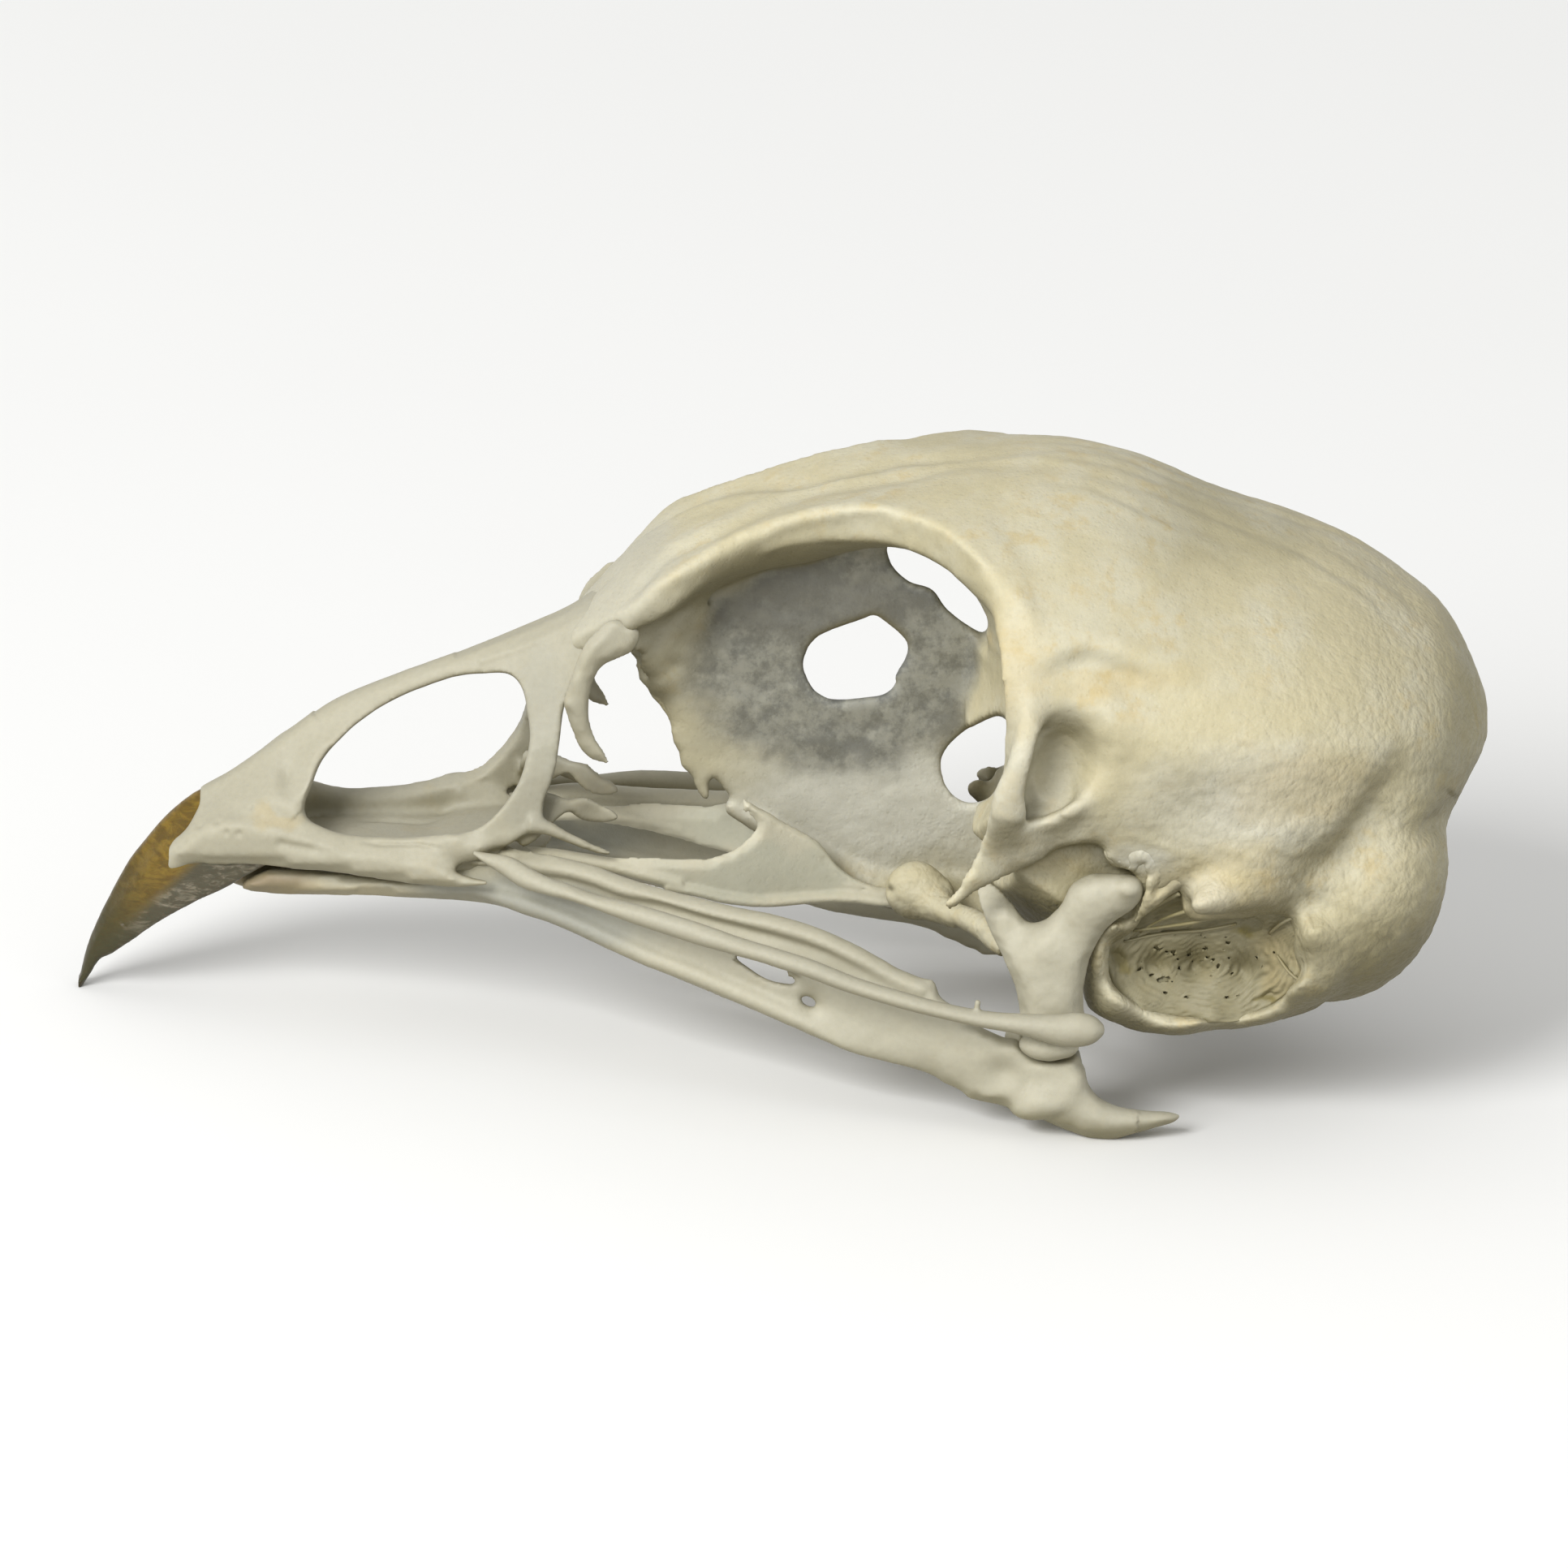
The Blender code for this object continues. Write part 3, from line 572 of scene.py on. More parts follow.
boneFinish = {
    "cream": (0.545, 0.49, 0.315, 1),
    "pale": (0.585, 0.545, 0.395, 1),
    "ivory": (0.505, 0.482, 0.382, 1),
    "amber": (0.53, 0.405, 0.17, 1),
    # painted shade: the colour that crevices and shaded patches are darkened towards
    "oliveShade": (0.19, 0.165, 0.075, 1),
    "slate": (0.095, 0.098, 0.098, 1),
    "grey": (0.135, 0.14, 0.132, 1),
    "greyPale": (0.35, 0.35, 0.30, 1),
    "mossy": (0.42, 0.43, 0.35, 1),
    "milk": (0.62, 0.61, 0.53, 1),
    "umber": (0.24, 0.17, 0.09, 1),
    # painted shade: the darker tone for the ear web's cleft and its holes
    "ochreShade": (0.21, 0.17, 0.045, 1),
    # painted shade: the colour that surfaces facing down are darkened towards
    "shade": (0.125, 0.108, 0.055, 1),
    "roughness": 0.5,
    "gloss": 0.2,
    "glow": 0.12,
    "glowDepth": 0.0005,
    "poreScale": 5.5,
    "patchDrift": (1.8, 0.4, 1.8),
    # where the painted underside shade begins and where it is full, by how far the normal points down
    "underside": (-0.76, 0.42),
    # painted shade in crevices: how far the occlusion looks and how dark it makes them
    "creviceShadeReach": 0.0022,
    "creviceShade": 0.5,
    "reliefDepth": 0.00006,
}
septumFinish = {  # patches with their middle, radii and softness, and how strong each tone is
    "drift": (2.2, 0.2, 2.2),
    "deep": ((0.7, 0.0, 5.5), (3.3, 0.95, 1.1), 0.5),
    "deepTone": 0.7,
    "veil": ((1.6, 0.0, 2.9), (5.8, 0.95, 4.8), 0.25),
    "veilTone": 0.22,
    # the foot is pale bone, partly painted light on the lower septum
    "foot": ((3.0, 0.0, -0.6), (4.6, 1.2, 1.9), 0.5),
    "footTone": 0.9,
    "thin": ((1.7, 0.0, 4.0), (4.6, 0.95, 3.7), 0.22),
    "thinTone": 0.93,
}


def septumTones(wire, point, drift, colour):  # the thin grey wall, its pale foot, partly painted light, and the veil round it
    moved = wire.drifted(point, drift, septumFinish["drift"])
    flecks = wire.cloud(point, 1.15, 6.0, 0.7).rise(0.42, 0.61)
    bubbles = 1 - wire.cells(wire.drifted(point, drift, (0.5, 0.0, 0.5)), 1.9).rise(0.1, 0.5)
    grey = wire.blend(flecks * 0.65 + bubbles * 0.3, boneFinish["grey"], boneFinish["greyPale"])
    deep = wire.patch(moved, *septumFinish["deep"])
    grey = wire.blend(deep * septumFinish["deepTone"], grey, boneFinish["slate"])
    veil = wire.patch(moved, *septumFinish["veil"])
    colour = wire.blend(veil * septumFinish["veilTone"], colour, boneFinish["greyPale"])
    # the foot: pale bone, partly painted light where the lower septum is lit
    foot = wire.patch(moved, *septumFinish["foot"])
    colour = wire.blend(foot * septumFinish["footTone"], colour, boneFinish["milk"])
    thin = wire.patch(moved, *septumFinish["thin"])
    return wire.blend(thin * septumFinish["thinTone"], colour, grey)


def boneMaterial(name, look):
    # look: how ivory, how stained, where patches of another tone are, how deep the grain
    material, shader, wire = newMaterial(
        name,
        boneFinish["roughness"],
        {
            "Subsurface Weight": boneFinish["glow"],
            "Subsurface Radius": (0.9, 0.7, 0.4),
            "Subsurface Scale": boneFinish["glowDepth"],
            "Specular IOR Level": boneFinish["gloss"],
        },
    )
    point = wire.skullPoint()
    broad = wire.cloud(point, 0.35, 3.0)
    middling = wire.cloud(point, 1.3, 4.0, 0.6)
    speckle = wire.cloud(point, 7.0, 4.0, 0.7)
    crumbs = wire.cells(point, boneFinish["poreScale"])
    colour = wire.blend(broad.rise(0.38, 0.62), boneFinish["cream"], boneFinish["pale"])
    colour = wire.blend(look["ivory"], colour, boneFinish["ivory"])
    stain = (middling.rise(0.48, 0.7) * broad.rise(0.4, 0.62)) * look["stain"]
    colour = wire.blend(stain, colour, boneFinish["amber"])
    drift = wire.node("ShaderNodeTexNoise", {}, {"Vector": point, "Scale": 0.8, "Detail": 5.0}, 1)
    drift = wire.shifted(drift, (-0.5, -0.5, -0.5))
    moved = wire.drifted(point, drift, boneFinish["patchDrift"])
    for (x, side, z), radii, tone, amount in look.get("patches", []):
        for y in (side, -side) if side else (0.0,):  # a patch off the middle is on both sides
            mask = wire.patch(moved, (x, y, z), radii, 0.4)
            colour = wire.blend(mask * amount, colour, boneFinish[tone])
    if look.get("septum"):
        colour = septumTones(wire, point, drift, colour)
    tone = (speckle - 0.5) * look["mottle"] + (look.get("level", 0.9) + crumbs * 0.05)
    colour = wire.toned(colour, tone)
    # painted shade: surfaces that face down are darkened towards the shade colour, as if lit from above
    tilt = wire.parts(wire.node("ShaderNodeTexCoord", {}, {}, 1))[2]
    below = (1 - tilt.rise(*boneFinish["underside"])) * look.get("undersideShade", 0.93)
    colour = wire.blend(below, colour, boneFinish["shade"])
    # painted shade: crevices and recesses darkened where shade falls
    nook = wire.node("ShaderNodeAmbientOcclusion", {"samples": 8}, {"Distance": boneFinish["creviceShadeReach"]}, 1)
    colour = wire.blend((1 - nook.rise(0.1, 0.9)) * boneFinish["creviceShade"], colour, boneFinish["oliveShade"])
    wire.plug(shader.inputs["Base Color"], colour)
    wire.plug(shader.inputs["Roughness"], middling * 0.2 + (boneFinish["roughness"] - 0.1))
    height = speckle * look.get("fine", 0.9) + crumbs.rise(0.05, 0.4) * look.get("pores", 0.3)
    if look.get("cobbles"):  # the back and the underside are cobbled, the crown is smooth
        x, y, z = wire.parts(point)
        where = (x * 0.1 - z * 0.14 + broad * 0.6).rise(0.3, 1.7)
        wavy = wire.drifted(point, drift, (0.6, 0.6, 0.6))
        lumps = (1 - wire.cells(wavy, 3.6)) + (1 - wire.cells(wavy, 7.5)) * 0.5
        height = height + lumps * (where * look["cobbles"] + 0.12)
    values = {"Height": height, "Strength": look["grain"], "Distance": boneFinish["reliefDepth"]}
    wire.plug(shader.inputs["Normal"], wire.node("ShaderNodeBump", {}, values))
    return material


print("materials ready")


# finishing a piece and setting it on the floor


def finished(shape, name, material, *nodes):
    shape.name = shape.data.name = name
    shape.data.transform(setting)
    for vertex in shape.data.vertices:  # nothing sinks into the floor
        vertex.co.z = max(vertex.co.z, 0.0)
    for face in shape.data.polygons:
        face.use_smooth = True
    shape.data.materials.clear()
    shape.data.materials.append(material)
    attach(shape, "root")
    if nodes:
        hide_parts(*nodes)
    print("piece", name, len(shape.data.polygons), "faces")
    return shape


# the cranium, with the septum between the eyes grown into it

cranium = {
    "voxel": 0.1,
    "halfWidth": 7.55,
    "rimSide": -7.75,
    "septumThick": 0.36,
    "frontThick": 0.36,
    "vaultVoxel": 0.14,
    "smoothPasses": 4,
    "swell": 0.02,
}


def vault():
    # x, lowest, widest level, highest, half width
    rows = [
        (5.2, -1.4, 5.3, 9.55, 6.0),
        (6.0, -2.6, 5.0, 9.8, 7.1),
        (7.0, -3.6, 4.6, 9.95, 7.5),
        (8.7, -4.7, 4.0, 9.8, 7.6),
        (10.2, -5.5, 3.6, 9.35, cranium["halfWidth"]),
        (12.1, -6.2, 3.2, 8.5, 7.5),
        (14.1, -6.2, 3.0, 7.8, 7.15),
        (16.1, -5.5, 2.8, 6.95, 6.35),
        (17.4, -4.3, 2.6, 6.15, 5.5),
        (18.2, -2.6, 2.4, 5.6, 4.7),
        (18.7, -1.1, 2.35, 5.1, 4.1),
        (19.2, 0.0, 2.3, 4.4, 3.3),
        (19.75, 0.95, 2.1, 3.25, 1.9),
        (20.0, 1.5, 2.0, 2.5, 0.6),
    ]
    rings = [
        shellRing(x, low, wide, high, half, 2.15, 2.0, 72)
        for x, low, wide, high, half in smoothRows(rows, 6)
    ]
    return skin(rings)


def forehead():
    # x, half width, top in the middle, top at the rim, underside at the rim, underside in the middle
    rows = [
        (-6.4, 0.7, 4.6, 4.5, 4.3, 4.3),
        (-5.8, 1.35, 5.32, 5.15, 4.5, 4.5),
        (-5.1, 1.95, 6.08, 5.7, 4.9, 4.9),
        (-4.3, 2.65, 6.88, 6.4, 5.5, 5.5),
        (-3.2, 2.95, 7.65, 7.35, 6.35, 5.6),
        (-2.4, 2.7, 8.05, 7.85, 7.0, 6.1),
        (-1.4, 2.4, 8.4, 8.4, 7.6, 6.4),
        (-0.4, 2.25, 8.7, 8.75, 7.95, 6.7),
        (0.6, 2.25, 8.95, 9.05, 8.2, 6.85),
        (1.6, 2.4, 9.2, 9.25, 8.3, 7.2),
        (2.6, 2.7, 9.4, 9.4, 8.35, 7.5),
        (3.6, 3.2, 9.6, 9.35, 8.3, 7.65),
        (4.6, 4.05, 9.75, 9.2, 8.05, 7.4),
        (5.5, 5.2, 9.82, 8.8, 7.5, 6.9),
        (6.3, 6.2, 9.86, 8.05, 6.9, 6.2),
        (7.2, 6.6, 9.84, 7.3, 6.1, 5.4),
        (8.2, 6.85, 9.66, 6.5, 5.4, 4.6),
        (9.2, 6.95, 9.35, 5.6, 4.6, 4.0),
    ]
    return skin([roofRing(*row, 48) for row in smoothRows(rows, 5)])


upperGap = [
    (1093, 667), (1124, 677), (1154, 688), (1176, 705), (1197, 727), (1219, 766), (1213, 781), (1197, 774),
    (1167, 753), (1154, 735), (1145, 725), (1119, 716), (1098, 696),
]
opticGap = [
    (1238, 881), (1210, 888), (1190, 899), (1170, 916), (1160, 932), (1160, 952), (1167, 972), (1180, 985),
    (1193, 990), (1206, 989), (1222, 982), (1236, 958), (1249, 912),
]
septumHole = [
    (1078, 757), (1102, 774), (1119, 792), (1115, 813), (1104, 831), (1104, 844), (1087, 857), (1037, 863),
    (1015, 859), (1000, 848), (989, 822), (991, 809), (1002, 787), (1028, 774), (1067, 761),
]
septumOutline = [
    (777, 775), (779, 806), (784, 812), (781, 820), (787, 823), (786, 832), (792, 840), (798, 846),
    (800, 856), (804, 870), (812, 882), (822, 890), (827, 904), (833, 922), (842, 944), (852, 952),
    (855, 965), (864, 983), (872, 983), (870, 961), (880, 956), (905, 985), (925, 1000), (960, 1015),
    (1000, 1045), (1050, 1080), (1090, 1100), (1160, 1130), (1230, 1130), (1260, 1060), (1260, 780),
    (1230, 740), (1150, 690), (1090, 640), (1037, 630), (950, 640), (880, 680), (830, 720),
]
temporalWindow = [
    (1290, 884), (1314, 876), (1338, 893), (1352, 925), (1352, 950), (1336, 968), (1316, 991), (1293, 1004),
    (1268, 1008), (1260, 985), (1262, 962), (1269, 935), (1277, 906),
]
earOpening = [
    (1397, 1143), (1406, 1127), (1415, 1108), (1432, 1094), (1447, 1091), (1456, 1103), (1456, 1117),
    (1465, 1130), (1485, 1133), (1520, 1130), (1548, 1127), (1578, 1122), (1593, 1138), (1594, 1171),
    (1598, 1191), (1588, 1208), (1564, 1231), (1531, 1241), (1482, 1247), (1432, 1241), (1395, 1224),
    (1375, 1208), (1370, 1178), (1375, 1161),
]
temporalBlade = [
    (1217, 1004), (1240, 1006), (1266, 1009), (1293, 1005), (1316, 992), (1336, 969), (1352, 949),
    (1390, 940), (1420, 990), (1395, 1040), (1362, 1030), (1349, 1033), (1329, 1035), (1302, 1040),
    (1283, 1058), (1249, 1075), (1226, 1085), (1203, 1098), (1180, 1115), (1150, 1133), (1127, 1141),
    (1150, 1122), (1167, 1108), (1183, 1088), (1196, 1065), (1206, 1042), (1213, 1019),
]
earRecess = [
    (1215, 1080), (1250, 1072), (1283, 1056), (1302, 1043), (1349, 1036), (1360, 1042), (1364, 1058),
    (1380, 1068), (1396, 1074), (1402, 1092), (1400, 1112), (1391, 1134), (1366, 1146), (1340, 1180),
    (1320, 1250), (1240, 1250), (1200, 1150),
]
bullaOutline = [
    (1333, 1232), (1356, 1254), (1387, 1268), (1433, 1276), (1482, 1273), (1548, 1265), (1597, 1250),
    (1645, 1225), (1665, 1180), (1640, 1130), (1600, 1128), (1602, 1170), (1604, 1192), (1592, 1213),
    (1567, 1236), (1532, 1246), (1482, 1252), (1430, 1247), (1392, 1230), (1369, 1211), (1364, 1178),
    (1370, 1156), (1388, 1142), (1372, 1130), (1350, 1150), (1337, 1185),
]
frontFunnel = [  # from under the brow in to the front of the septum
    (758, 770), (775, 750), (800, 728), (830, 708), (870, 688), (905, 674), (918, 684), (898, 712),
    (880, 755), (866, 805), (850, 850), (836, 874), (820, 878), (809, 862), (800, 846), (793, 834),
    (788, 822), (786, 808), (779, 800), (768, 788),
]
farScrap = [
    (1198, 981), (1191, 976), (1193, 967), (1201, 962), (1208, 961), (1215, 966), (1225, 961), (1227, 952),
    (1228, 945), (1234, 952), (1239, 943), (1241, 926), (1250, 922), (1262, 960), (1250, 1000), (1212, 996),
]


def raggedEdge(outline, first, last, reach, seed):  # a thin sheet's broken edge between two of its corners
    dice = random.Random(seed)
    rough = outline[:first]
    for (au, av), (bu, bv) in zip(outline[first:last], outline[first + 1 : last + 1]):
        steps = max(int(math.hypot(bu - au, bv - av) / 7), 1)
        for step in range(steps):
            t = step / steps
            across = dice.uniform(-reach, reach)
            rough.append((au + (bu - au) * t + across, av + (bv - av) * t + dice.uniform(-2, 2)))
    return rough + outline[last:]


def openShell():  # the braincase, cut away for the eyes and the ears
    orbit = ball((0.2, -4.7, 4.4), (6.5, 7.4, 6.7), segments=64)
    lowerFront = block((-1.0, -9.0, -6.0), (5.9, 9.0, -0.5))
    shell = recast(vault(), cranium["vaultVoxel"])
    hollows = [
        sightHole(upperGap, -5.0, 6.0),
        sightHole(opticGap, -6.5, 7.5),
        sightHole(earRecess, -9.5, -5.9),
    ]
    return carved(shell, bothSides([orbit]) + [lowerFront] + bothSides(hollows))


def templePieces():  # the bar and the blade behind the eye, and what stands round the ear
    rim = cranium["rimSide"]
    bar = seenTube(
        [
            (1236, 768, -5.95, 0.4, 0.36),
            (1256, 812, -6.5, 0.5, 0.42),
            (1269, 855, -7.05, 0.48, 0.42),
            (1268, 900, -7.5, 0.42, 0.38),
            (1257, 940, rim, 0.42, 0.36),
            (1246, 980, rim, 0.42, 0.5),
            (1240, 1008, rim + 0.05, 0.4, 0.55),
        ]
    )
    blade = sheet(
        temporalBlade,
        [
            (1240, 1006, rim), (1400, 975, -6.6), (1352, 952, -7.2), (1310, 990, -7.6), (1190, 1085, -7.0),
            (1125, 1142, -6.5), (1180, 1115, -6.9), (1203, 1098, -6.85), (1249, 1075, -6.8),
            (1302, 1040, -6.7), (1345, 1033, -6.8),
        ],
        [(1240, 1006, 0.75), (1390, 980, 0.9), (1125, 1142, 0.15), (1200, 1060, 0.36), (1200, 1095, 0.3)],
        edge=9,
    )
    ridge = seenTube(
        [
            (1466, 1111, -7.4, 0.34, 0.34),
            (1478, 1108, -7.35, 0.46, 0.45),
            (1502, 1102, -7.1, 0.52, 0.55),
            (1538, 1086, -6.8, 0.6, 0.85),
            (1590, 1075, -6.2, 0.7, 1.0),
            (1640, 1100, -5.4, 0.7, 1.2),
        ]
    )
    bulla = sheet(
        bullaOutline,
        [
            (1400, 1272, -4.5), (1500, 1270, -4.4), (1600, 1250, -4.5), (1340, 1230, -5.0),
            (1350, 1170, -5.7), (1380, 1228, -5.7), (1480, 1250, -5.7), (1590, 1215, -5.9),
            (1655, 1190, -5.3), (1610, 1150, -6.2), (1372, 1140, -6.1),
        ],
        1.5,
        edge=13,
    )
    lumps = [
        seenTube(
            [
                (1575, 1066, -5.7, 0.9, 0.8),
                (1520, 1092, -6.85, 0.7, 0.68),
                (1486, 1105, -7.4, 0.52, 0.5),
                (1469, 1111, -7.5, 0.4, 0.4),
            ],
            16,
            4,
        ),
        ball(seen(1450, 1050, -6.5), (1.1, 0.7, 0.8)),
        ball((15.45, -2.9, -1.16), (3.45, 3.3, 4.2)),
        ball((11.4, -3.4, -4.3), (3.4, 1.7, 1.35), (0, 2, 0)),
    ]
    return [bar, blade, ridge, bulla], lumps


def septumPieces():  # the wall between the eyes, the far side's scrap, and the sheet from brow to septum
    sheetEdge = raggedEdge(septumOutline, 0, 20, 3.0, 3)
    septum = sheet(sheetEdge, 0.0, cranium["septumThick"], rounding=2, crosswise=True)
    carved(septum, [sightHole(outline, -1.5, 1.5) for outline in (septumHole, opticGap, upperGap)])
    scrap = sheet(farScrap, 3.4, 0.4, rounding=1, spacing=7.0)
    front = sheet(
        frontFunnel,
        [
            (760, 770, -2.2), (800, 730, -2.4), (830, 710, -2.45), (870, 690, -2.4), (912, 674, -2.35),
            (782, 800, -1.3), (790, 820, -0.7), (800, 846, -0.25), (824, 880, -0.02), (836, 874, 0.0),
            (850, 850, 0.0), (866, 805, 0.0), (880, 755, -0.05), (898, 712, -0.5), (917, 685, -1.6),
            (806, 800, -0.62), (828, 772, -0.66), (850, 748, -0.72), (880, 715, -1.1), (836, 822, -0.1),
            (852, 792, -0.12), (864, 765, -0.25),
        ],
        cranium["frontThick"],
        edge=5,
    )
    return septum, scrap, front


def craniumShape():
    shell = openShell()
    blades, lumps = templePieces()
    septum, scrap, front = septumPieces()
    rostrum = tube(
        [
            (-1.6, 0, -0.6, 0.2, 0.25),
            (-1.0, 0, -0.9, 0.3, 0.35),
            (0.0, 0, -1.5, 0.4, 0.42),
            (1.0, 0, -2.15, 0.45, 0.46),
            (2.0, 0, -2.8, 0.5, 0.5),
            (3.2, 0, -3.2, 0.6, 0.6),
            (5.8, 0, -3.6, 1.1, 0.85),
        ]
    )
    condyle = ball((17.25, 0, -4.35), (0.85, 0.75, 0.6))
    base = ball((12.0, 0, -5.0), (4.2, 4.2, 1.7), (0, 6, 0))
    pieces = [shell, forehead(), condyle, base, septum, rostrum, scrap]
    pieces += bothSides(blades + [front] + lumps)
    window = sightHole(temporalWindow, -9.5, -7.0)
    windowFloor = ball(seen(1306, 945, -7.3), (0.85, 0.75, 1.3), (0, 14, 0))
    drum = sightHole(earOpening, -9.5, -4.3)
    spinal = tube(
        [
            (18.9, 0, -3.0, 1.7, 1.5),
            (17.0, 0, -1.6, 1.9, 1.7),
            (14.6, 0, -0.2, 2.6, 2.4),
            (13.0, 0, 0.8, 1.6, 1.5),
        ]
    )
    cutters = bothSides([window, windowFloor, drum]) + [spinal]
    return bone(pieces, cutters, cranium)


def workCranium(shape):
    work = Surface(shape)
    # joins smoothed over first
    work.soften([(1190, 560), (1240, 590), (1285, 640), (1310, 700), (1325, 760)], 1.2, 90)
    work.soften([(1250, 560), (1330, 600), (1380, 680), (1380, 760)], 0.9, 60)
    work.soften(
        [(1215, 720), (1240, 760), (1262, 800), (1280, 850), (1300, 866), (1330, 872), (1350, 890)],
        0.55, 40, beyond=3.5,
    )
    work.soften([(690, 770), (730, 742), (770, 712), (810, 690)], 0.5, 40)
    work.soften([(770, 775), (800, 752), (840, 730), (880, 710), (920, 690)], 0.42, 40)
    work.soften([(915, 688), (896, 715), (879, 758), (865, 806), (850, 848), (834, 872), (816, 876)], 0.5, 60)
    work.dab(808, 868, 0.36, -0.1, tall=0.5, turn=60)
    work.soften([(1345, 935), (1372, 952), (1390, 985), (1380, 1015), (1362, 1022)], 0.55, 36, beyond=6)
    work.soften([(1450, 1000), (1500, 1040), (1560, 1040), (1620, 1050), (1650, 1100)], 0.7, 50, beyond=3)
    work.soften([(1530, 1108), (1580, 1120), (1612, 1140), (1618, 1165)], 0.45, 40, beyond=3)
    work.soften(
        [(1660, 1140), (1650, 1200), (1600, 1252), (1500, 1268), (1400, 1262), (1350, 1235)],
        0.6, 30, beyond=2.5,
    )
    work.soften([(1346, 1225), (1352, 1180), (1372, 1136)], 0.3, 12, beyond=4)
    work.soften([(1600, 1020), (1690, 1030), (1740, 960), (1790, 1000)], 1.0, 40, beyond=0.5)
    work.soften([(1240, 1010)], 0.6, 10, beyond=6)
    # the long grooves over the eyes
    brow = [
        (753, 762), (784, 726), (822, 686), (869, 664), (916, 642), (963, 619), (1010, 605), (1057, 597),
        (1105, 590), (1152, 579), (1199, 572), (1293, 576), (1364, 590),
    ]
    work.stroke(brow, 0.17, -0.13, ends=(0.1, 0.3))
    work.stroke([(u + 4, v + 26) for u, v in brow[:10]], 0.3, 0.09, ends=(0.2, 0.3))
    work.stroke([(u + 2, v - 12) for u, v in brow], 0.14, 0.06, ends=(0.2, 0.3))
    work.stroke(
        [(1010, 590), (1081, 580), (1152, 567), (1223, 556), (1300, 560), (1380, 580)],
        0.13, -0.06, ends=(0.2, 0.3),
    )
    work.stroke([(1090, 566), (1160, 552), (1230, 543), (1310, 548)], 0.12, -0.05, ends=(0.3, 0.3))
    work.stroke([(708, 745), (751, 712), (775, 680)], 0.12, -0.07, ends=(0.1, 0.4))
    work.stroke(
        [(1195, 640), (1232, 672), (1256, 716), (1266, 765), (1272, 820)],
        0.28, 0.06, ends=(0.3, 0.3),
    )
    # the hollow behind the eye and its edge
    crest = [(1277, 849), (1289, 821), (1312, 806), (1341, 801), (1378, 812), (1420, 825), (1480, 850)]
    work.dab(1322, 856, 0.85, -0.2, tall=0.7)
    work.dab(1410, 868, 1.4, -0.14, tall=0.6, turn=17)
    work.stroke([(u, v + 14) for u, v in crest], 0.42, -0.2, ends=(0.4, 0.35))
    work.stroke([(u, v - 14) for u, v in crest], 0.55, 0.13, ends=(0.25, 0.35))
    work.soften([(1296, 880), (1318, 878), (1342, 896), (1354, 925), (1354, 948), (1340, 966)], 0.42, 60)
    work.stroke(
        [(1330, 838), (1370, 842), (1420, 862), (1480, 886), (1530, 900)],
        0.4, -0.08, ends=(0.3, 0.6),
    )
    # the knob behind the ear stands clear of the lumps in front of it
    work.stroke([(1478, 1064), (1476, 1082), (1456, 1100)], 0.16, -0.2, beyond=5, ends=(0.5, 0.05))
    work.soften([(1458, 1096), (1480, 1088), (1510, 1076)], 0.4, 40, beyond=5)
    work.soften([(1520, 1070), (1550, 1078), (1570, 1095)], 0.6, 60, beyond=5)
    work.dab(1390, 930, 0.7, -0.08, tall=1.0)
    work.dab(1470, 1000, 1.4, -0.14, tall=0.8, turn=-20)
    work.dab(1560, 1045, 1.6, 0.22, tall=0.8, turn=-20)
    work.dab(1495, 740, 1.8, -0.1, tall=1.2)
    work.dab(1620, 900, 2.0, 0.12, tall=1.4, turn=-40)
    # the back of the head
    work.stroke(
        [(1728, 905), (1723, 953), (1698, 998), (1659, 1057), (1604, 1107), (1569, 1122)],
        0.95, -0.4, ends=(0.45, 0.2),
    )
    work.stroke(
        [(1726, 925), (1720, 957), (1694, 1002), (1655, 1060), (1604, 1107)],
        0.4, -0.12, ends=(0.4, 0.3),
    )
    work.stroke([(1700, 900), (1690, 950), (1660, 1000), (1600, 1060)], 0.5, 0.1, ends=(0.3, 0.2))
    work.stroke([(1804, 828), (1810, 870), (1804, 918), (1790, 972)], 0.3, -0.14, ends=(0.4, 0.5))
    work.stroke([(1800, 985), (1782, 1008), (1755, 1028), (1725, 1040)], 0.32, -0.26, ends=(0.02, 0.6))
    work.stroke([(1604, 634), (1678, 684), (1728, 729), (1768, 775)], 0.18, -0.07, ends=(0.3, 0.3))
    for path in (
        [(1180, 545), (1260, 548), (1350, 566), (1440, 596), (1540, 640)],
        [(1250, 590), (1340, 600), (1430, 640), (1520, 668)],
        [(1320, 580), (1420, 606), (1520, 648), (1620, 690)],
        [(1560, 628), (1640, 676), (1710, 722), (1760, 780)],
        [(1540, 650), (1600, 680), (1680, 730), (1730, 790)],
    ):
        work.stroke(path, 0.12, -0.04, ends=(0.35, 0.35))
        work.stroke([(u + 5, v + 12) for u, v in path], 0.16, 0.03, ends=(0.35, 0.35))
    work.place()
    rough = numpy.clip((work.u - 1150) / 500, 0, 1) * numpy.clip((work.v - 640) / 400, 0, 1)
    work.roughen(1.0, 0.024, 3)
    work.roughen(0.3, 0.02, 2, seed=7.0, where=0.2 + rough)
    return work.done()


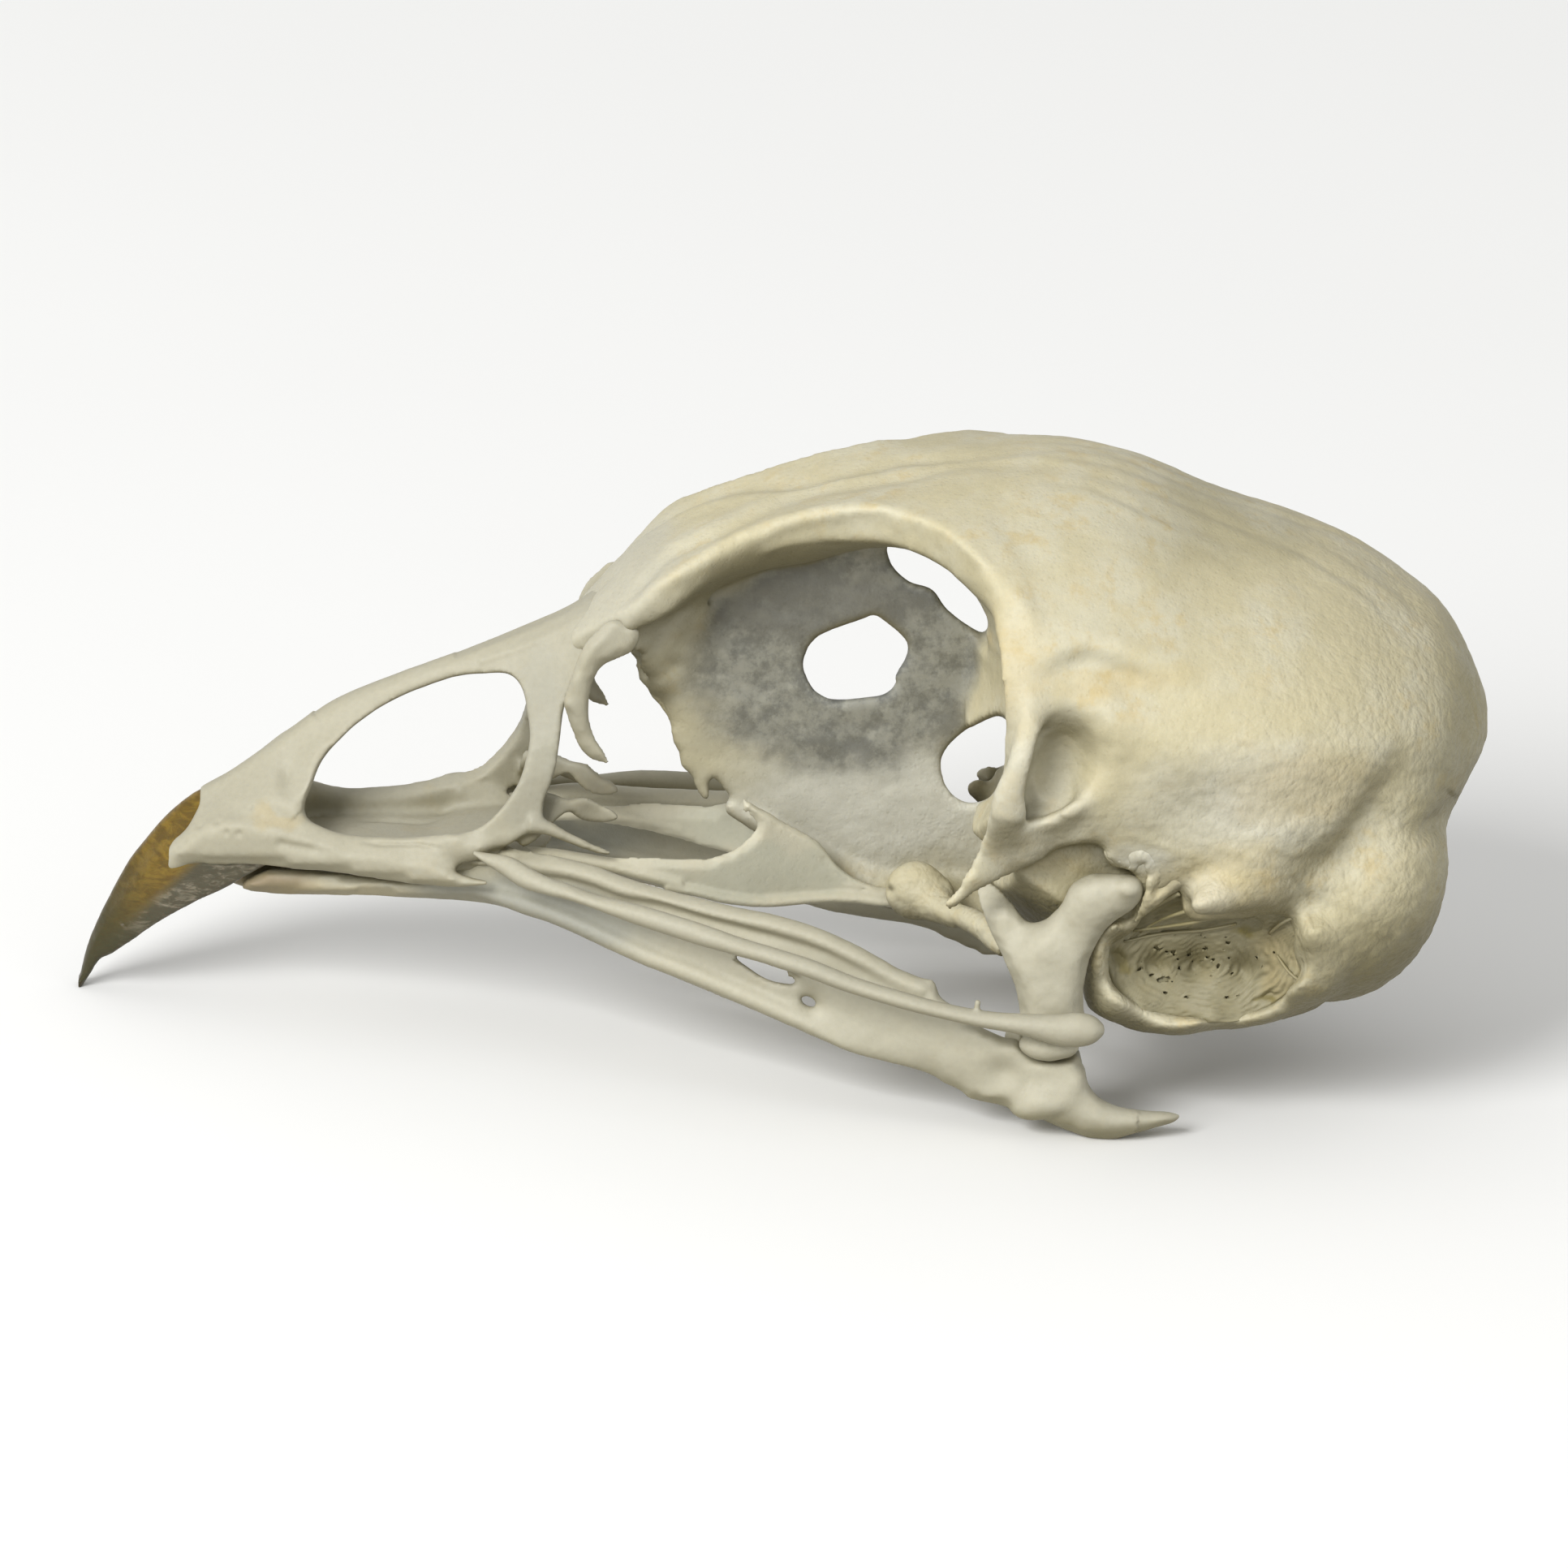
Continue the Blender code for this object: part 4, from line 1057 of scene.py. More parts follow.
craniumBone = boneMaterial(
    "craniumBone",
    {
        "ivory": 0.05,
        "stain": 0.5,
        "mottle": 0.14,
        "grain": 0.75,
        "septum": True,
        "fine": 0.35,
        "pores": 0.15,
        "cobbles": 0.8,
        "patches": [
            ((12.7, 0.0, 2.1), (3.6, 9.0, 2.1), "milk", 0.8),
            ((10.1, 0.0, 0.4), (1.1, 9.0, 0.55), "milk", 0.85),
            ((9.8, 0.0, 0.2), (1.4, 9.0, 0.9), "milk", 0.6),
            ((9.4, 0.0, 5.7), (2.4, 9.0, 0.6), "amber", 0.4),
            ((7.6, 0.0, -0.2), (1.2, 9.0, 0.5), "amber", 0.3),
            # painted shade: the back edge, the low back and the back of the crown darkened as if turned from
            # the light
            ((20.2, 0.0, 1.0), (2.4, 9.0, 4.6), "oliveShade", 0.5),
            ((17.4, 0.0, -4.6), (3.9, 9.0, 2.9), "oliveShade", 0.85),
            ((15.2, 0.0, 8.6), (5.0, 9.0, 1.0), "oliveShade", 0.26),
            ((12.4, -7.0, -0.6), (1.9, 2.5, 1.4), "amber", 0.3),
            ((-4.9, 0.0, 6.3), (2.6, 4.5, 2.0), "ivory", 0.85),
            ((14.6, -6.5, 2.4), (2.0, 3.0, 1.0), "amber", 0.28),
            ((6.0, -7.0, 6.0), (1.3, 3.0, 1.6), "amber", 0.25),
            ((7.0, -7.5, 2.0), (1.6, 1.6, 3.2), "milk", 0.4),
            ((11.9, -7.6, -0.7), (1.1, 1.4, 0.8), "milk", 0.4),
        ],
    },
)


# the thin web of struts inside the ear cavity

earWeb = {
    "spacing": 2.6,
    "thick": 0.15,
    "backThick": 0.1,
    "middle": (1484, 1190),
    "ringReach": (104, 44),
    "holes": 26,
    "holeVoxel": 0.025,
    "ridgeStep": 5.2,
    "ridgeHeight": 0.04,
    "seed": 5,
}
earWebOutline = [
    (1362, 1150), (1380, 1124), (1404, 1096), (1430, 1082), (1456, 1088), (1470, 1118), (1500, 1126),
    (1520, 1122), (1560, 1115), (1602, 1122), (1612, 1150), (1612, 1206), (1588, 1238), (1540, 1256),
    (1440, 1262), (1384, 1242), (1354, 1206), (1354, 1176),
]


def earWebHoles():
    dice = random.Random(earWeb["seed"])
    middleU, middleV = earWeb["middle"]
    wide, tall = earWeb["ringReach"]
    spots = [
        (1425, 1168, 5, 2.6, 10), (1445, 1174, 3, 2.6, 60), (1464, 1173, 3, 4.6, 10),
        (1484, 1168, 2.4, 3.6, 5), (1512, 1161, 2.6, 2.4, 0), (1433, 1206, 8, 3.4, -8),
        (1494, 1182, 1.8, 3, 10), (1500, 1190, 1.8, 3.2, 10), (1403, 1194, 5, 1.4, -25),
        (1418, 1201, 4, 1.2, -20), (1436, 1172, 2, 1.4, 40), (1450, 1181, 2.4, 1.2, 60),
    ]
    for _ in range(earWeb["holes"]):  # the holes lie along rings round the middle
        angle, reach = dice.uniform(0, 2 * math.pi), dice.uniform(0.1, 0.95)
        u, v = middleU + wide * reach * math.cos(angle), middleV + tall * reach * math.sin(angle)
        lean = math.degrees(math.atan2(tall * math.cos(angle), -wide * math.sin(angle)))
        spots.append((u, v, dice.uniform(1.4, 2.8), dice.uniform(0.7, 1.1), lean))
    holes = []
    for u, v, long, short, lean in spots:
        turn = math.radians(lean)
        loop = []
        for step in range(12):
            angle = 2 * math.pi * step / 12
            du, dv = long * math.cos(angle), short * math.sin(angle)
            loop.append(
                (
                    u + du * math.cos(turn) - dv * math.sin(turn),
                    v + du * math.sin(turn) + dv * math.cos(turn),
                )
            )
        holes.append(sightHole(loop, -6.4, -3.6, 1))
    return recast(merged(holes), earWeb["holeVoxel"])


def earWebShape():
    side = [
        (1470, 1190, -4.4), (1530, 1195, -4.6), (1420, 1190, -4.7), (1358, 1190, -5.3), (1370, 1150, -5.3),
        (1500, 1140, -5.2), (1550, 1120, -5.6), (1608, 1150, -5.7), (1606, 1210, -5.6), (1490, 1258, -5.5),
        (1400, 1245, -5.4), (1560, 1160, -5.1), (1430, 1100, -5.6), (1430, 1125, -5.3), (1400, 1110, -5.5),
        (1460, 1110, -5.6), (1440, 1146, -5.2), (1400, 1150, -5.2),
    ]
    web = sheet(earWebOutline, side, earWeb["thick"], spacing=earWeb["spacing"])
    web = carved(web, [earWebHoles()])
    behind = [(u, v, spot + 0.1) for u, v, spot in side]
    backing = sheet(earWebOutline, behind, earWeb["backThick"], spacing=earWeb["spacing"])
    work = Surface(web)
    du, dv = work.u - earWeb["middle"][0], work.v - earWeb["middle"][1]
    sway = numpy.array([noise.noise(Vector((u / 30, v / 30, 2.0))) for u, v in zip(work.u, work.v)])
    fine = numpy.array([noise.noise(Vector((u / 9, v / 9, 5.0))) for u, v in zip(work.u, work.v)])
    ring = numpy.hypot(du / 1.75, dv) + sway * 7 + fine * 1.5
    ridges = numpy.sin(ring * 2 * math.pi / earWeb["ridgeStep"]) * (0.6 + fine)
    work.push(earWeb["ridgeHeight"] * ridges)
    work.dab(1540, 1142, 0.32, -0.26, tall=0.2, turn=10)
    work.dab(1376, 1182, 0.26, -0.2, tall=0.16, turn=30)
    work.dab(1560, 1228, 0.2, -0.2, tall=0.1, turn=-25)
    work.place()
    work.roughen(0.5, 0.03, 3)
    strands = [work.done(), backing]
    for rows in (
        [
            (1396, 1146, -5.5, 0.05, 0.05), (1430, 1142, -5.9, 0.05, 0.05), (1470, 1136, -6.0, 0.06, 0.06),
            (1500, 1128, -6.0, 0.08, 0.08),
        ],
        [
            (1392, 1140, -5.9, 0.04, 0.05), (1410, 1124, -6.3, 0.05, 0.06), (1436, 1108, -6.5, 0.05, 0.07),
            (1452, 1100, -6.7, 0.06, 0.08),
        ],
        [(1404, 1148, -5.5, 0.04, 0.04), (1432, 1132, -6.1, 0.04, 0.05), (1462, 1122, -6.4, 0.05, 0.07)],
        [
            (1384, 1160, -5.3, 0.04, 0.04), (1430, 1150, -5.3, 0.05, 0.05), (1480, 1146, -5.4, 0.05, 0.05),
            (1522, 1138, -5.6, 0.05, 0.05),
        ],
        [(1563, 1150, -5.3, 0.05, 0.05), (1580, 1136, -5.7, 0.06, 0.06), (1598, 1128, -5.9, 0.06, 0.06)],
        [(1572, 1176, -5.3, 0.04, 0.04), (1586, 1196, -5.5, 0.05, 0.05), (1600, 1208, -5.7, 0.05, 0.05)],
    ):
        strands.append(seenTube(rows, 8, 4))
    return merged(strands)


# the broken edge and spine in front of the ear

earEdge = {"voxel": 0.05, "smoothPasses": 6, "swell": 0.0}
earEdgeOutline = [
    (1361, 1038), (1380, 1028), (1410, 1022), (1445, 1034), (1480, 1060), (1480, 1078), (1464, 1090),
    (1446, 1100), (1428, 1114), (1412, 1127), (1400, 1137), (1394, 1141), (1396, 1132), (1402, 1118),
    (1407, 1104), (1411, 1092), (1412, 1081), (1406, 1077), (1400, 1070), (1392, 1072), (1384, 1070),
    (1372, 1068), (1364, 1060), (1368, 1050),
]


def earEdgeShape():
    plate = sheet(
        earEdgeOutline,
        [
            (1361, 1042, -6.75), (1400, 1056, -6.95), (1445, 1040, -6.75), (1476, 1072, -6.75),
            (1430, 1100, -6.75), (1412, 1100, -6.95), (1394, 1142, -6.5),
        ],
        [(1380, 1050, 0.6), (1410, 1050, 0.7), (1465, 1070, 0.6), (1424, 1104, 0.4), (1394, 1142, 0.16)],
        spacing=6.0,
        edge=9,
    )
    lumps = [
        ball(seen(u, v, side), (wide, deep, tall))
        for u, v, side, wide, deep, tall in (
            (1374, 1050, -6.9, 0.34, 0.2, 0.36), (1396, 1058, -6.95, 0.26, 0.24, 0.42),
            (1414, 1048, -7.0, 0.34, 0.22, 0.3), (1428, 1062, -6.95, 0.3, 0.2, 0.34),
            (1416, 1086, -6.95, 0.14, 0.16, 0.36),
        )
    ]
    work = Surface(bone([plate] + lumps, [], earEdge))
    work.soften([(1430, 1050), (1450, 1066), (1470, 1076)], 0.5, 30)
    work.stroke([(1387, 1040), (1384, 1054), (1387, 1070)], 0.08, -0.12, ends=(0.3, 0.1))
    work.stroke([(1412, 1062), (1404, 1072), (1410, 1084)], 0.07, -0.1, ends=(0.4, 0.1))
    work.stroke([(1440, 1072), (1432, 1090), (1414, 1112)], 0.16, -0.09, ends=(0.4, 0.3))
    work.place()
    work.roughen(0.8, 0.035, 3)
    work.roughen(0.3, 0.014, 2)
    return work.done()


# the upper bill

upperBill = {"voxel": 0.07, "smoothPasses": 3, "swell": 0.015, "maxillaThick": 0.5}
narisOutline = [
    (386, 966), (391, 948), (401, 931), (423, 906), (449, 884), (492, 858), (557, 834), (600, 829),
    (629, 830), (645, 850), (651, 880), (654, 910), (648, 941), (640, 965), (627, 986), (611, 1005),
    (590, 1021), (560, 1028), (509, 1031), (470, 1031), (421, 1027), (383, 1012), (373, 1001), (377, 985),
]
behindNasal = [
    (696, 866), (692, 888), (689, 915), (685, 943), (678, 965), (669, 990), (667, 1022), (648, 1027),
    (624, 1042), (606, 1046), (560, 1070), (560, 1200), (900, 1200), (900, 745), (800, 742), (775, 752),
    (752, 768), (722, 800), (706, 840),
]
maxillaOutline = [
    (330, 1000), (360, 1003), (380, 1012), (421, 1028), (470, 1031), (509, 1031), (560, 1027), (600, 1034),
    (604, 1046), (598, 1056), (580, 1063), (556, 1068), (530, 1072), (450, 1074), (360, 1060), (310, 1040),
]
billProcessOutline = [
    (255, 1012), (320, 1010), (380, 1026), (421, 1042), (465, 1047), (509, 1053), (540, 1061), (554, 1070),
    (570, 1079), (602, 1087), (570, 1093), (512, 1089), (462, 1082), (411, 1074), (350, 1067), (283, 1062),
    (240, 1062), (205, 1066), (220, 1040),
]


def billRing(x, top, mid, tomium, halfTop, halfMid, halfLow):
    profile = [
        (0.0, tomium + 0.35),
        (halfLow - 0.5, tomium + 0.3),
        (halfLow - 0.2, tomium),
        (halfLow, tomium + 0.2),
        (halfMid, mid),
        (halfMid * 0.85 + halfTop * 0.15, mid + (top - mid) * 0.4),
        (halfTop, mid + (top - mid) * 0.8),
        (halfTop * 0.5, mid + (top - mid) * 0.96),
        (0.0, top),
    ]
    ring = [(x, -y, z) for y, z in profile] + [(x, y, z) for y, z in reversed(profile[1:-1])]
    return [tuple(point) for point in roundLoop(ring, 3)]


def noseShape():  # the hollow front of the bill, with the nostrils cut through
    # x, culmen, side level, cutting edge, half widths at the top, the side and the edge
    rows = [
        (-18.0, -1.5, -2.4, -2.6, 0.4, 1.1, 1.15),
        (-17.3, -0.72, -1.7, -2.3, 0.44, 1.3, 1.35),
        (-16.7, -0.2, -1.2, -2.0, 0.46, 1.42, 1.45),
        (-15.8, 0.35, -1.0, -1.9, 0.5, 1.5, 1.6),
        (-14.9, 1.0, -0.8, -1.85, 0.55, 1.65, 1.75),
        (-13.9, 1.72, -0.7, -1.9, 0.6, 1.85, 1.95),
        (-13.2, 2.27, -0.6, -1.9, 0.64, 1.92, 2.02),
        (-12.4, 2.74, -0.6, -1.95, 0.68, 2.0, 2.1),
        (-11.0, 3.34, -0.6, -2.05, 0.68, 2.15, 2.3),
        (-9.7, 3.84, -0.6, -2.1, 0.72, 2.4, 2.6),
        (-8.5, 4.3, -0.5, -1.9, 0.85, 2.6, 2.8),
        (-7.4, 4.77, -0.2, -1.2, 1.0, 2.66, 2.75),
        (-6.3, 5.25, 0.3, -0.5, 1.2, 2.55, 2.65),
        (-5.4, 5.76, 1.0, 0.5, 1.45, 2.5, 2.55),
        (-4.9, 6.12, 1.5, 1.0, 1.4, 2.25, 2.3),
        (-4.3, 6.3, 3.0, 2.6, 1.2, 1.8, 1.8),
        (-3.7, 6.35, 4.4, 4.2, 0.9, 1.2, 1.2),
    ]
    nose = skin([billRing(*row) for row in smoothRows(rows, 4)])
    hollowRows = [
        (x, top - 0.62, mid, low - 1.5, max(highHalf - 0.42, 0.12), midHalf - 0.5, lowHalf - 0.5)
        for x, top, mid, low, highHalf, midHalf, lowHalf in rows[5:-2]
    ]
    hollowRows[0] = (-13.7, 1.0, -0.7, -3.4, 0.15, 1.2, 1.3)
    hollowRows[-1] = (-4.0, 5.9, 1.5, -1.0, 1.3, 2.0, 2.0)
    hollow = skin([billRing(*row) for row in smoothRows(hollowRows, 4)])
    front = [
        (100, 840), (246, 860), (247, 992), (229, 1023), (198, 1048), (200, 1068), (205, 1120), (100, 1120),
    ]
    openings = [
        sightHole(front, -5.0, 0.0, 1),
        sightHole(narisOutline, -5.0, 0.06),
        sightHole(behindNasal, -5.0, -0.8),
    ]
    return carved(nose, [hollow] + bothSides(openings))


def upperBillShape():
    nose = noseShape()
    palate = ball((-10.6, 0.0, -1.72), (3.9, 2.3, 0.24), (0, 3, 0))
    palateRear = ball((-8.3, 0.0, -1.5), (1.75, 2.5, 0.22), (0, -3, 0))
    maxilla = sheet(
        maxillaOutline,
        [(330, -1.4), (420, -1.9), (510, -2.22), (600, -2.62)],
        upperBill["maxillaThick"], edge=10,
    )
    process = sheet(
        billProcessOutline,
        [(205, -1.15), (300, -1.55), (400, -2.0), (500, -2.38), (595, -2.85)],
        [(300, 0.6), (520, 0.55), (600, 0.5)],
        edge=4,
    )
    tipOfProcess = seenTube(
        [
            (520, 1072, -2.45, 0.2, 0.34), (552, 1081, -2.6, 0.2, 0.22), (578, 1086, -2.74, 0.17, 0.12),
            (601, 1088, -2.85, 0.1, 0.06),
        ],
        12, 3,
    )
    spike = seenTube(
        [
            (652, 1014, -2.6, 0.24, 0.3),
            (674, 1020, -2.62, 0.18, 0.2),
            (700, 1032, -2.6, 0.13, 0.14),
            (728, 1044, -2.55, 0.11, 0.11),
            (751, 1052, -2.5, 0.08, 0.07),
        ],
        12,
        3,
    )
    tongue = sheet(
        [
            (640, 1000), (650, 975), (680, 978), (700, 985), (721, 983), (740, 992), (757, 1001), (760, 1009),
            (740, 1013), (716, 1010), (697, 1000), (660, 1035), (640, 1040),
        ],
        [(650, 1030, -2.3), (665, 985, -1.6), (750, 1005, -1.1)],
        0.22,
    )
    shelf = sheet(
        [(556, 1030), (604, 1033), (634, 1044), (652, 1056), (640, 1068), (600, 1068), (560, 1062)],
        -2.05, 0.3, edge=4,
    )
    pieces = [nose, palate, palateRear] + bothSides([maxilla, process, tipOfProcess, spike, tongue, shelf])
    slit = sightHole([(663, 798), (676, 789), (693, 785), (694, 790), (680, 796)], -6.0, -0.9, 1)
    work = Surface(bone(pieces, bothSides([slit]), upperBill))
    work.soften([(230, 1020), (300, 1008), (380, 1022), (450, 1040), (540, 1050)], 0.45, 24)
    work.soften([(200, 1040), (203, 1062), (210, 1070), (240, 1068)], 0.3, 44)
    work.soften([(380, 1008), (374, 985), (384, 955), (400, 930)], 0.3, 30)
    work.soften([(560, 1060), (590, 1045), (610, 1035)], 0.3, 16)
    work.soften([(700, 770), (750, 735), (770, 755), (740, 800)], 0.4, 20)
    work.dab(362, 968, 0.42, -0.14, tall=0.75, turn=12)
    work.dab(351, 954, 0.16, -0.12, tall=0.3, turn=15)
    work.stroke([(366, 1004), (338, 978), (334, 944), (352, 908), (385, 880)], 0.3, 0.05)
    work.stroke([(338, 1038), (362, 1043), (390, 1048), (425, 1054)], 0.14, -0.07, ends=(0.1, 0.4))
    work.stroke([(436, 1035), (470, 1040), (515, 1040), (548, 1047)], 0.07, -0.08, ends=(0.3, 0.3))
    work.stroke([(560, 807), (640, 775), (700, 748), (760, 700)], 0.1, -0.05)
    work.stroke([(590, 815), (650, 795), (700, 772), (740, 742)], 0.12, 0.04)
    work.stroke([(697, 866), (703, 846), (722, 796), (753, 762), (782, 735)], 0.12, 0.07)
    pits = [(245, 1017, 0.12), (268, 1013, 0.06), (279, 1026, 0.08), (295, 1027, 0.09), (310, 995, 0.05)]
    for u, v, wide in pits:
        work.dab(u, v, wide, -0.06)
    work.roughen(0.7, 0.01, 3)
    return work.done()


# the horn sheath of the bill

hornSheath = {"voxel": 0.06, "smoothPasses": 2, "swell": 0.02}


def hornShape():
    rows = [
        (-20.1, -6.0, -6.1, -6.25, 0.1, 0.16, 0.18),
        (-19.85, -4.95, -5.4, -5.8, 0.16, 0.3, 0.32),
        (-19.55, -4.15, -4.7, -5.25, 0.2, 0.42, 0.45),
        (-19.15, -3.3, -4.2, -4.95, 0.28, 0.6, 0.65),
        (-18.65, -2.35, -3.5, -4.5, 0.34, 0.85, 0.9),
        (-17.85, -1.3, -2.4, -3.8, 0.4, 1.12, 1.15),
        (-17.2, -0.62, -1.8, -3.35, 0.44, 1.28, 1.3),
        (-16.6, -0.2, -1.4, -3.0, 0.44, 1.34, 1.36),
        (-15.9, 0.1, -1.2, -2.65, 0.44, 1.38, 1.4),
        (-15.2, 0.4, -1.0, -2.2, 0.44, 1.4, 1.45),
        (-14.6, 0.6, -1.0, -1.9, 0.4, 1.35, 1.4),
    ]
    horn = skin([billRing(*row) for row in smoothRows(rows, 4)])
    work = Surface(bone([horn], [], hornSheath))
    work.stroke([(150, 1140), (175, 1115), (230, 1085), (300, 1072)], 0.16, -0.05)
    work.roughen(0.5, 0.012, 3)
    return work.done()


# the lower jaw

lowerJaw = {"voxel": 0.07, "smoothPasses": 3, "swell": 0.015}
jawSide = [
    (300, -1.0), (386, -1.0), (430, -1.15), (490, -1.4), (560, -1.62), (620, -2.1), (693, -2.95), (732, -3.3),
    (771, -3.65), (819, -4.05), (901, -4.6), (970, -5.05), (1052, -5.45), (1096, -5.65), (1135, -5.85),
    (1169, -6.0), (1208, -6.15), (1251, -6.25), (1290, -6.3), (1360, -6.25), (1394, -6.15), (1429, -6.0),
    (1463, -5.8),
]
jawOutline = [
    (296, 1092), (330, 1072), (380, 1072), (449, 1079), (514, 1082), (560, 1070), (600, 1050), (626, 1045),
    (660, 1050), (694, 1057), (732, 1067), (770, 1082), (820, 1096), (902, 1117), (940, 1126), (996, 1139),
    (1055, 1165), (1090, 1184), (1113, 1198), (1134, 1206), (1146, 1206), (1153, 1215), (1157, 1227),
    (1172, 1238), (1200, 1262), (1215, 1276), (1252, 1280), (1268, 1296), (1300, 1304), (1322, 1298),
    (1330, 1304), (1333, 1320), (1341, 1337), (1356, 1353), (1383, 1362), (1414, 1366), (1440, 1366),
    (1457, 1369), (1456, 1380), (1440, 1388), (1414, 1394), (1383, 1402), (1356, 1404), (1326, 1396),
    (1280, 1377), (1234, 1361), (1195, 1352), (1176, 1340), (1125, 1321), (1057, 1297), (971, 1261),
    (895, 1230), (849, 1211), (790, 1186), (732, 1159), (694, 1142), (644, 1124), (604, 1114), (560, 1109),
    (449, 1103), (340, 1101),
]
jawGapFront = [
    (900, 1174), (930, 1181), (958, 1189), (982, 1200), (991, 1211), (972, 1213), (946, 1207), (922, 1193),
]
jawGapBack = [(976, 1224), (990, 1226), (1006, 1234), (1014, 1245), (998, 1240), (984, 1231)]


def rowsAlong(path, thin, deep, out=0.0):
    sideAt = between(jawSide)
    return [(u, v, sideAt(u, v) - out, thin, deep) for u, v in path]


def lowerJawShape():
    ramus = sheet(
        jawOutline,
        jawSide,
        [
            (300, 0.7), (560, 0.6), (732, 0.5), (1000, 0.5), (1150, 0.75), (1250, 1.2), (1330, 1.4),
            (1400, 1.35), (1458, 1.1),
        ],
        edge=7,
    )
    upperPath = [
        (640, 1062), (694, 1069), (732, 1079), (770, 1093), (820, 1108), (902, 1128), (960, 1140),
        (1010, 1156), (1055, 1177), (1100, 1202), (1140, 1219),
    ]
    lowerPath = [
        (560, 1092), (600, 1098), (640, 1108), (694, 1127), (732, 1144), (790, 1171), (849, 1194),
        (895, 1213), (971, 1246), (1030, 1272), (1080, 1292), (1130, 1308),
    ]
    upperBar = seenTube(rowsAlong(upperPath, 0.36, 0.24, 0.08), 14, 4)
    lowerRows = []
    for u, v, side, thin, deep in rowsAlong(lowerPath, 0.42, 0.34, 0.06):
        taper = min(1, 0.3 + (u - 560) / 110)
        lowerRows.append((u, v, side, thin * taper, deep * taper))
    lowerBar = seenTube(lowerRows, 14, 4)
    plate = sheet(
        [
            (968, 1198), (990, 1215), (1006, 1234), (1025, 1251), (1049, 1266), (1084, 1288), (1128, 1312),
            (1180, 1330), (1240, 1340), (1250, 1290), (1200, 1262), (1160, 1240), (1100, 1215), (1040, 1196),
        ],
        jawSide,
        [(968, 1198, 0.6), (1084, 1270, 0.8), (1240, 1310, 1.15)],
        edge=12,
    )
    inner = tube(
        [
            (7.6, -6.1, -7.1, 0.6, 0.7),
            (8.0, -5.0, -6.8, 0.5, 0.5),
            (8.1, -4.1, -6.6, 0.3, 0.3),
        ],
        hint=(1, 0, 0),
    )
    cheek = ball((7.5, -6.3, -7.1), (1.15, 0.9, 0.6), (0, -18, 0))
    backLip = ball((8.3, -6.4, -6.6), (0.3, 0.75, 0.55))
    # x, lowest, highest, half width of the joined tip
    tipRows = [
        (-15.9, -2.85, -2.35, 0.6),
        (-15.2, -3.05, -2.3, 0.95),
        (-14.2, -3.12, -2.28, 1.2),
        (-13.3, -3.08, -2.3, 1.4),
        (-12.7, -3.0, -2.35, 1.45),
        (-12.2, -2.95, -2.45, 1.5),
    ]
    tip = skin(
        [
            shellRing(x, low, (low + high) / 2 + 0.1, high, half, 2.0, 3.0, 32)
            for x, low, high, half in smoothRows(tipRows, 4)
        ]
    )
    carved(ramus, [sightHole(jawGapFront, -9, -2), sightHole(jawGapBack, -9, -2)])
    pieces = [tip] + bothSides([ramus, upperBar, lowerBar, plate, inner, cheek, backLip])
    cup = ball(seen(1292, 1284, -6.6), (0.6, 0.8, 0.42))
    work = Surface(bone(pieces, bothSides([cup]), lowerJaw))
    work.soften([(1230, 1310), (1262, 1330), (1300, 1350)], 0.7, 24)
    work.soften([(1020, 1196), (1100, 1225), (1180, 1262)], 0.4, 16)
    work.soften([(1016, 1226), (1060, 1262), (1130, 1300), (1190, 1330)], 0.5, 24)
    work.soften([(1310, 1340), (1350, 1370), (1400, 1382), (1440, 1380)], 0.6, 44)
    work.soften([(1030, 1250), (1060, 1270), (1100, 1292), (1140, 1312)], 0.5, 60)
    work.soften([(1380, 1372), (1402, 1385), (1420, 1390)], 0.5, 90)
    work.stroke(
        [(700, 1096), (760, 1122), (820, 1148), (880, 1170), (920, 1182)],
        0.3, -0.14, beyond=1.5, ends=(0.3, 0.1),
    )
    work.stroke(
        [(770, 1104), (820, 1119), (879, 1138), (937, 1152), (996, 1168)],
        0.14, -0.12, ends=(0.2, 0.4),
    )
    work.soften([(992, 1228), (1025, 1252), (1060, 1278), (1095, 1298), (1140, 1322)], 0.4, 90)
    work.dab(1235, 1322, 0.45, -0.16, tall=0.4)
    work.dab(1195, 1350, 0.2, 0.06)
    work.stroke([(1262, 1345), (1300, 1362), (1345, 1378), (1400, 1384)], 0.35, 0.06)
    work.roughen(0.8, 0.014, 3)
    return work.done()


# small bones, each made for the left side and mirrored

smallBones = {"voxel": 0.06, "smoothPasses": 3, "swell": 0.015}
lacrimalOutline = [
    (753, 764), (774, 767), (786, 775), (788, 787), (780, 802), (766, 810), (747, 818), (737, 828),
    (729, 847), (726, 866), (726, 885), (734, 909), (746, 928), (751, 940), (742, 940), (726, 934),
    (713, 919), (706, 901), (699, 882), (695, 863), (702, 843), (710, 820), (721, 794), (738, 776),
]
palatineOutline = [
    (596, 1040), (626, 1041), (675, 1047), (732, 1055), (790, 1057), (860, 1059), (880, 1056), (905, 1047),
    (922, 1033), (933, 1019), (927, 1006), (913, 997), (911, 988), (920, 985), (930, 993), (946, 1001),
    (967, 1014), (1008, 1037), (1027, 1063), (1050, 1081), (1074, 1092), (1106, 1098), (1106, 1118),
    (1088, 1116), (1060, 1108), (1030, 1107), (996, 1113), (966, 1116), (941, 1117), (879, 1109), (820, 1095),
    (780, 1085), (700, 1062), (620, 1055),
]
quadrateOutline = [
    (1204, 1095), (1214, 1089), (1224, 1090), (1246, 1112), (1259, 1130), (1274, 1136), (1292, 1128),
    (1309, 1108), (1318, 1091), (1330, 1082), (1349, 1076), (1382, 1077), (1402, 1081), (1407, 1092),
    (1405, 1106), (1394, 1119), (1375, 1132), (1356, 1151), (1343, 1178), (1335, 1208), (1333, 1240),
    (1336, 1262), (1320, 1284), (1262, 1284), (1256, 1246), (1249, 1211), (1233, 1174), (1214, 1132),
    (1206, 1108),
]


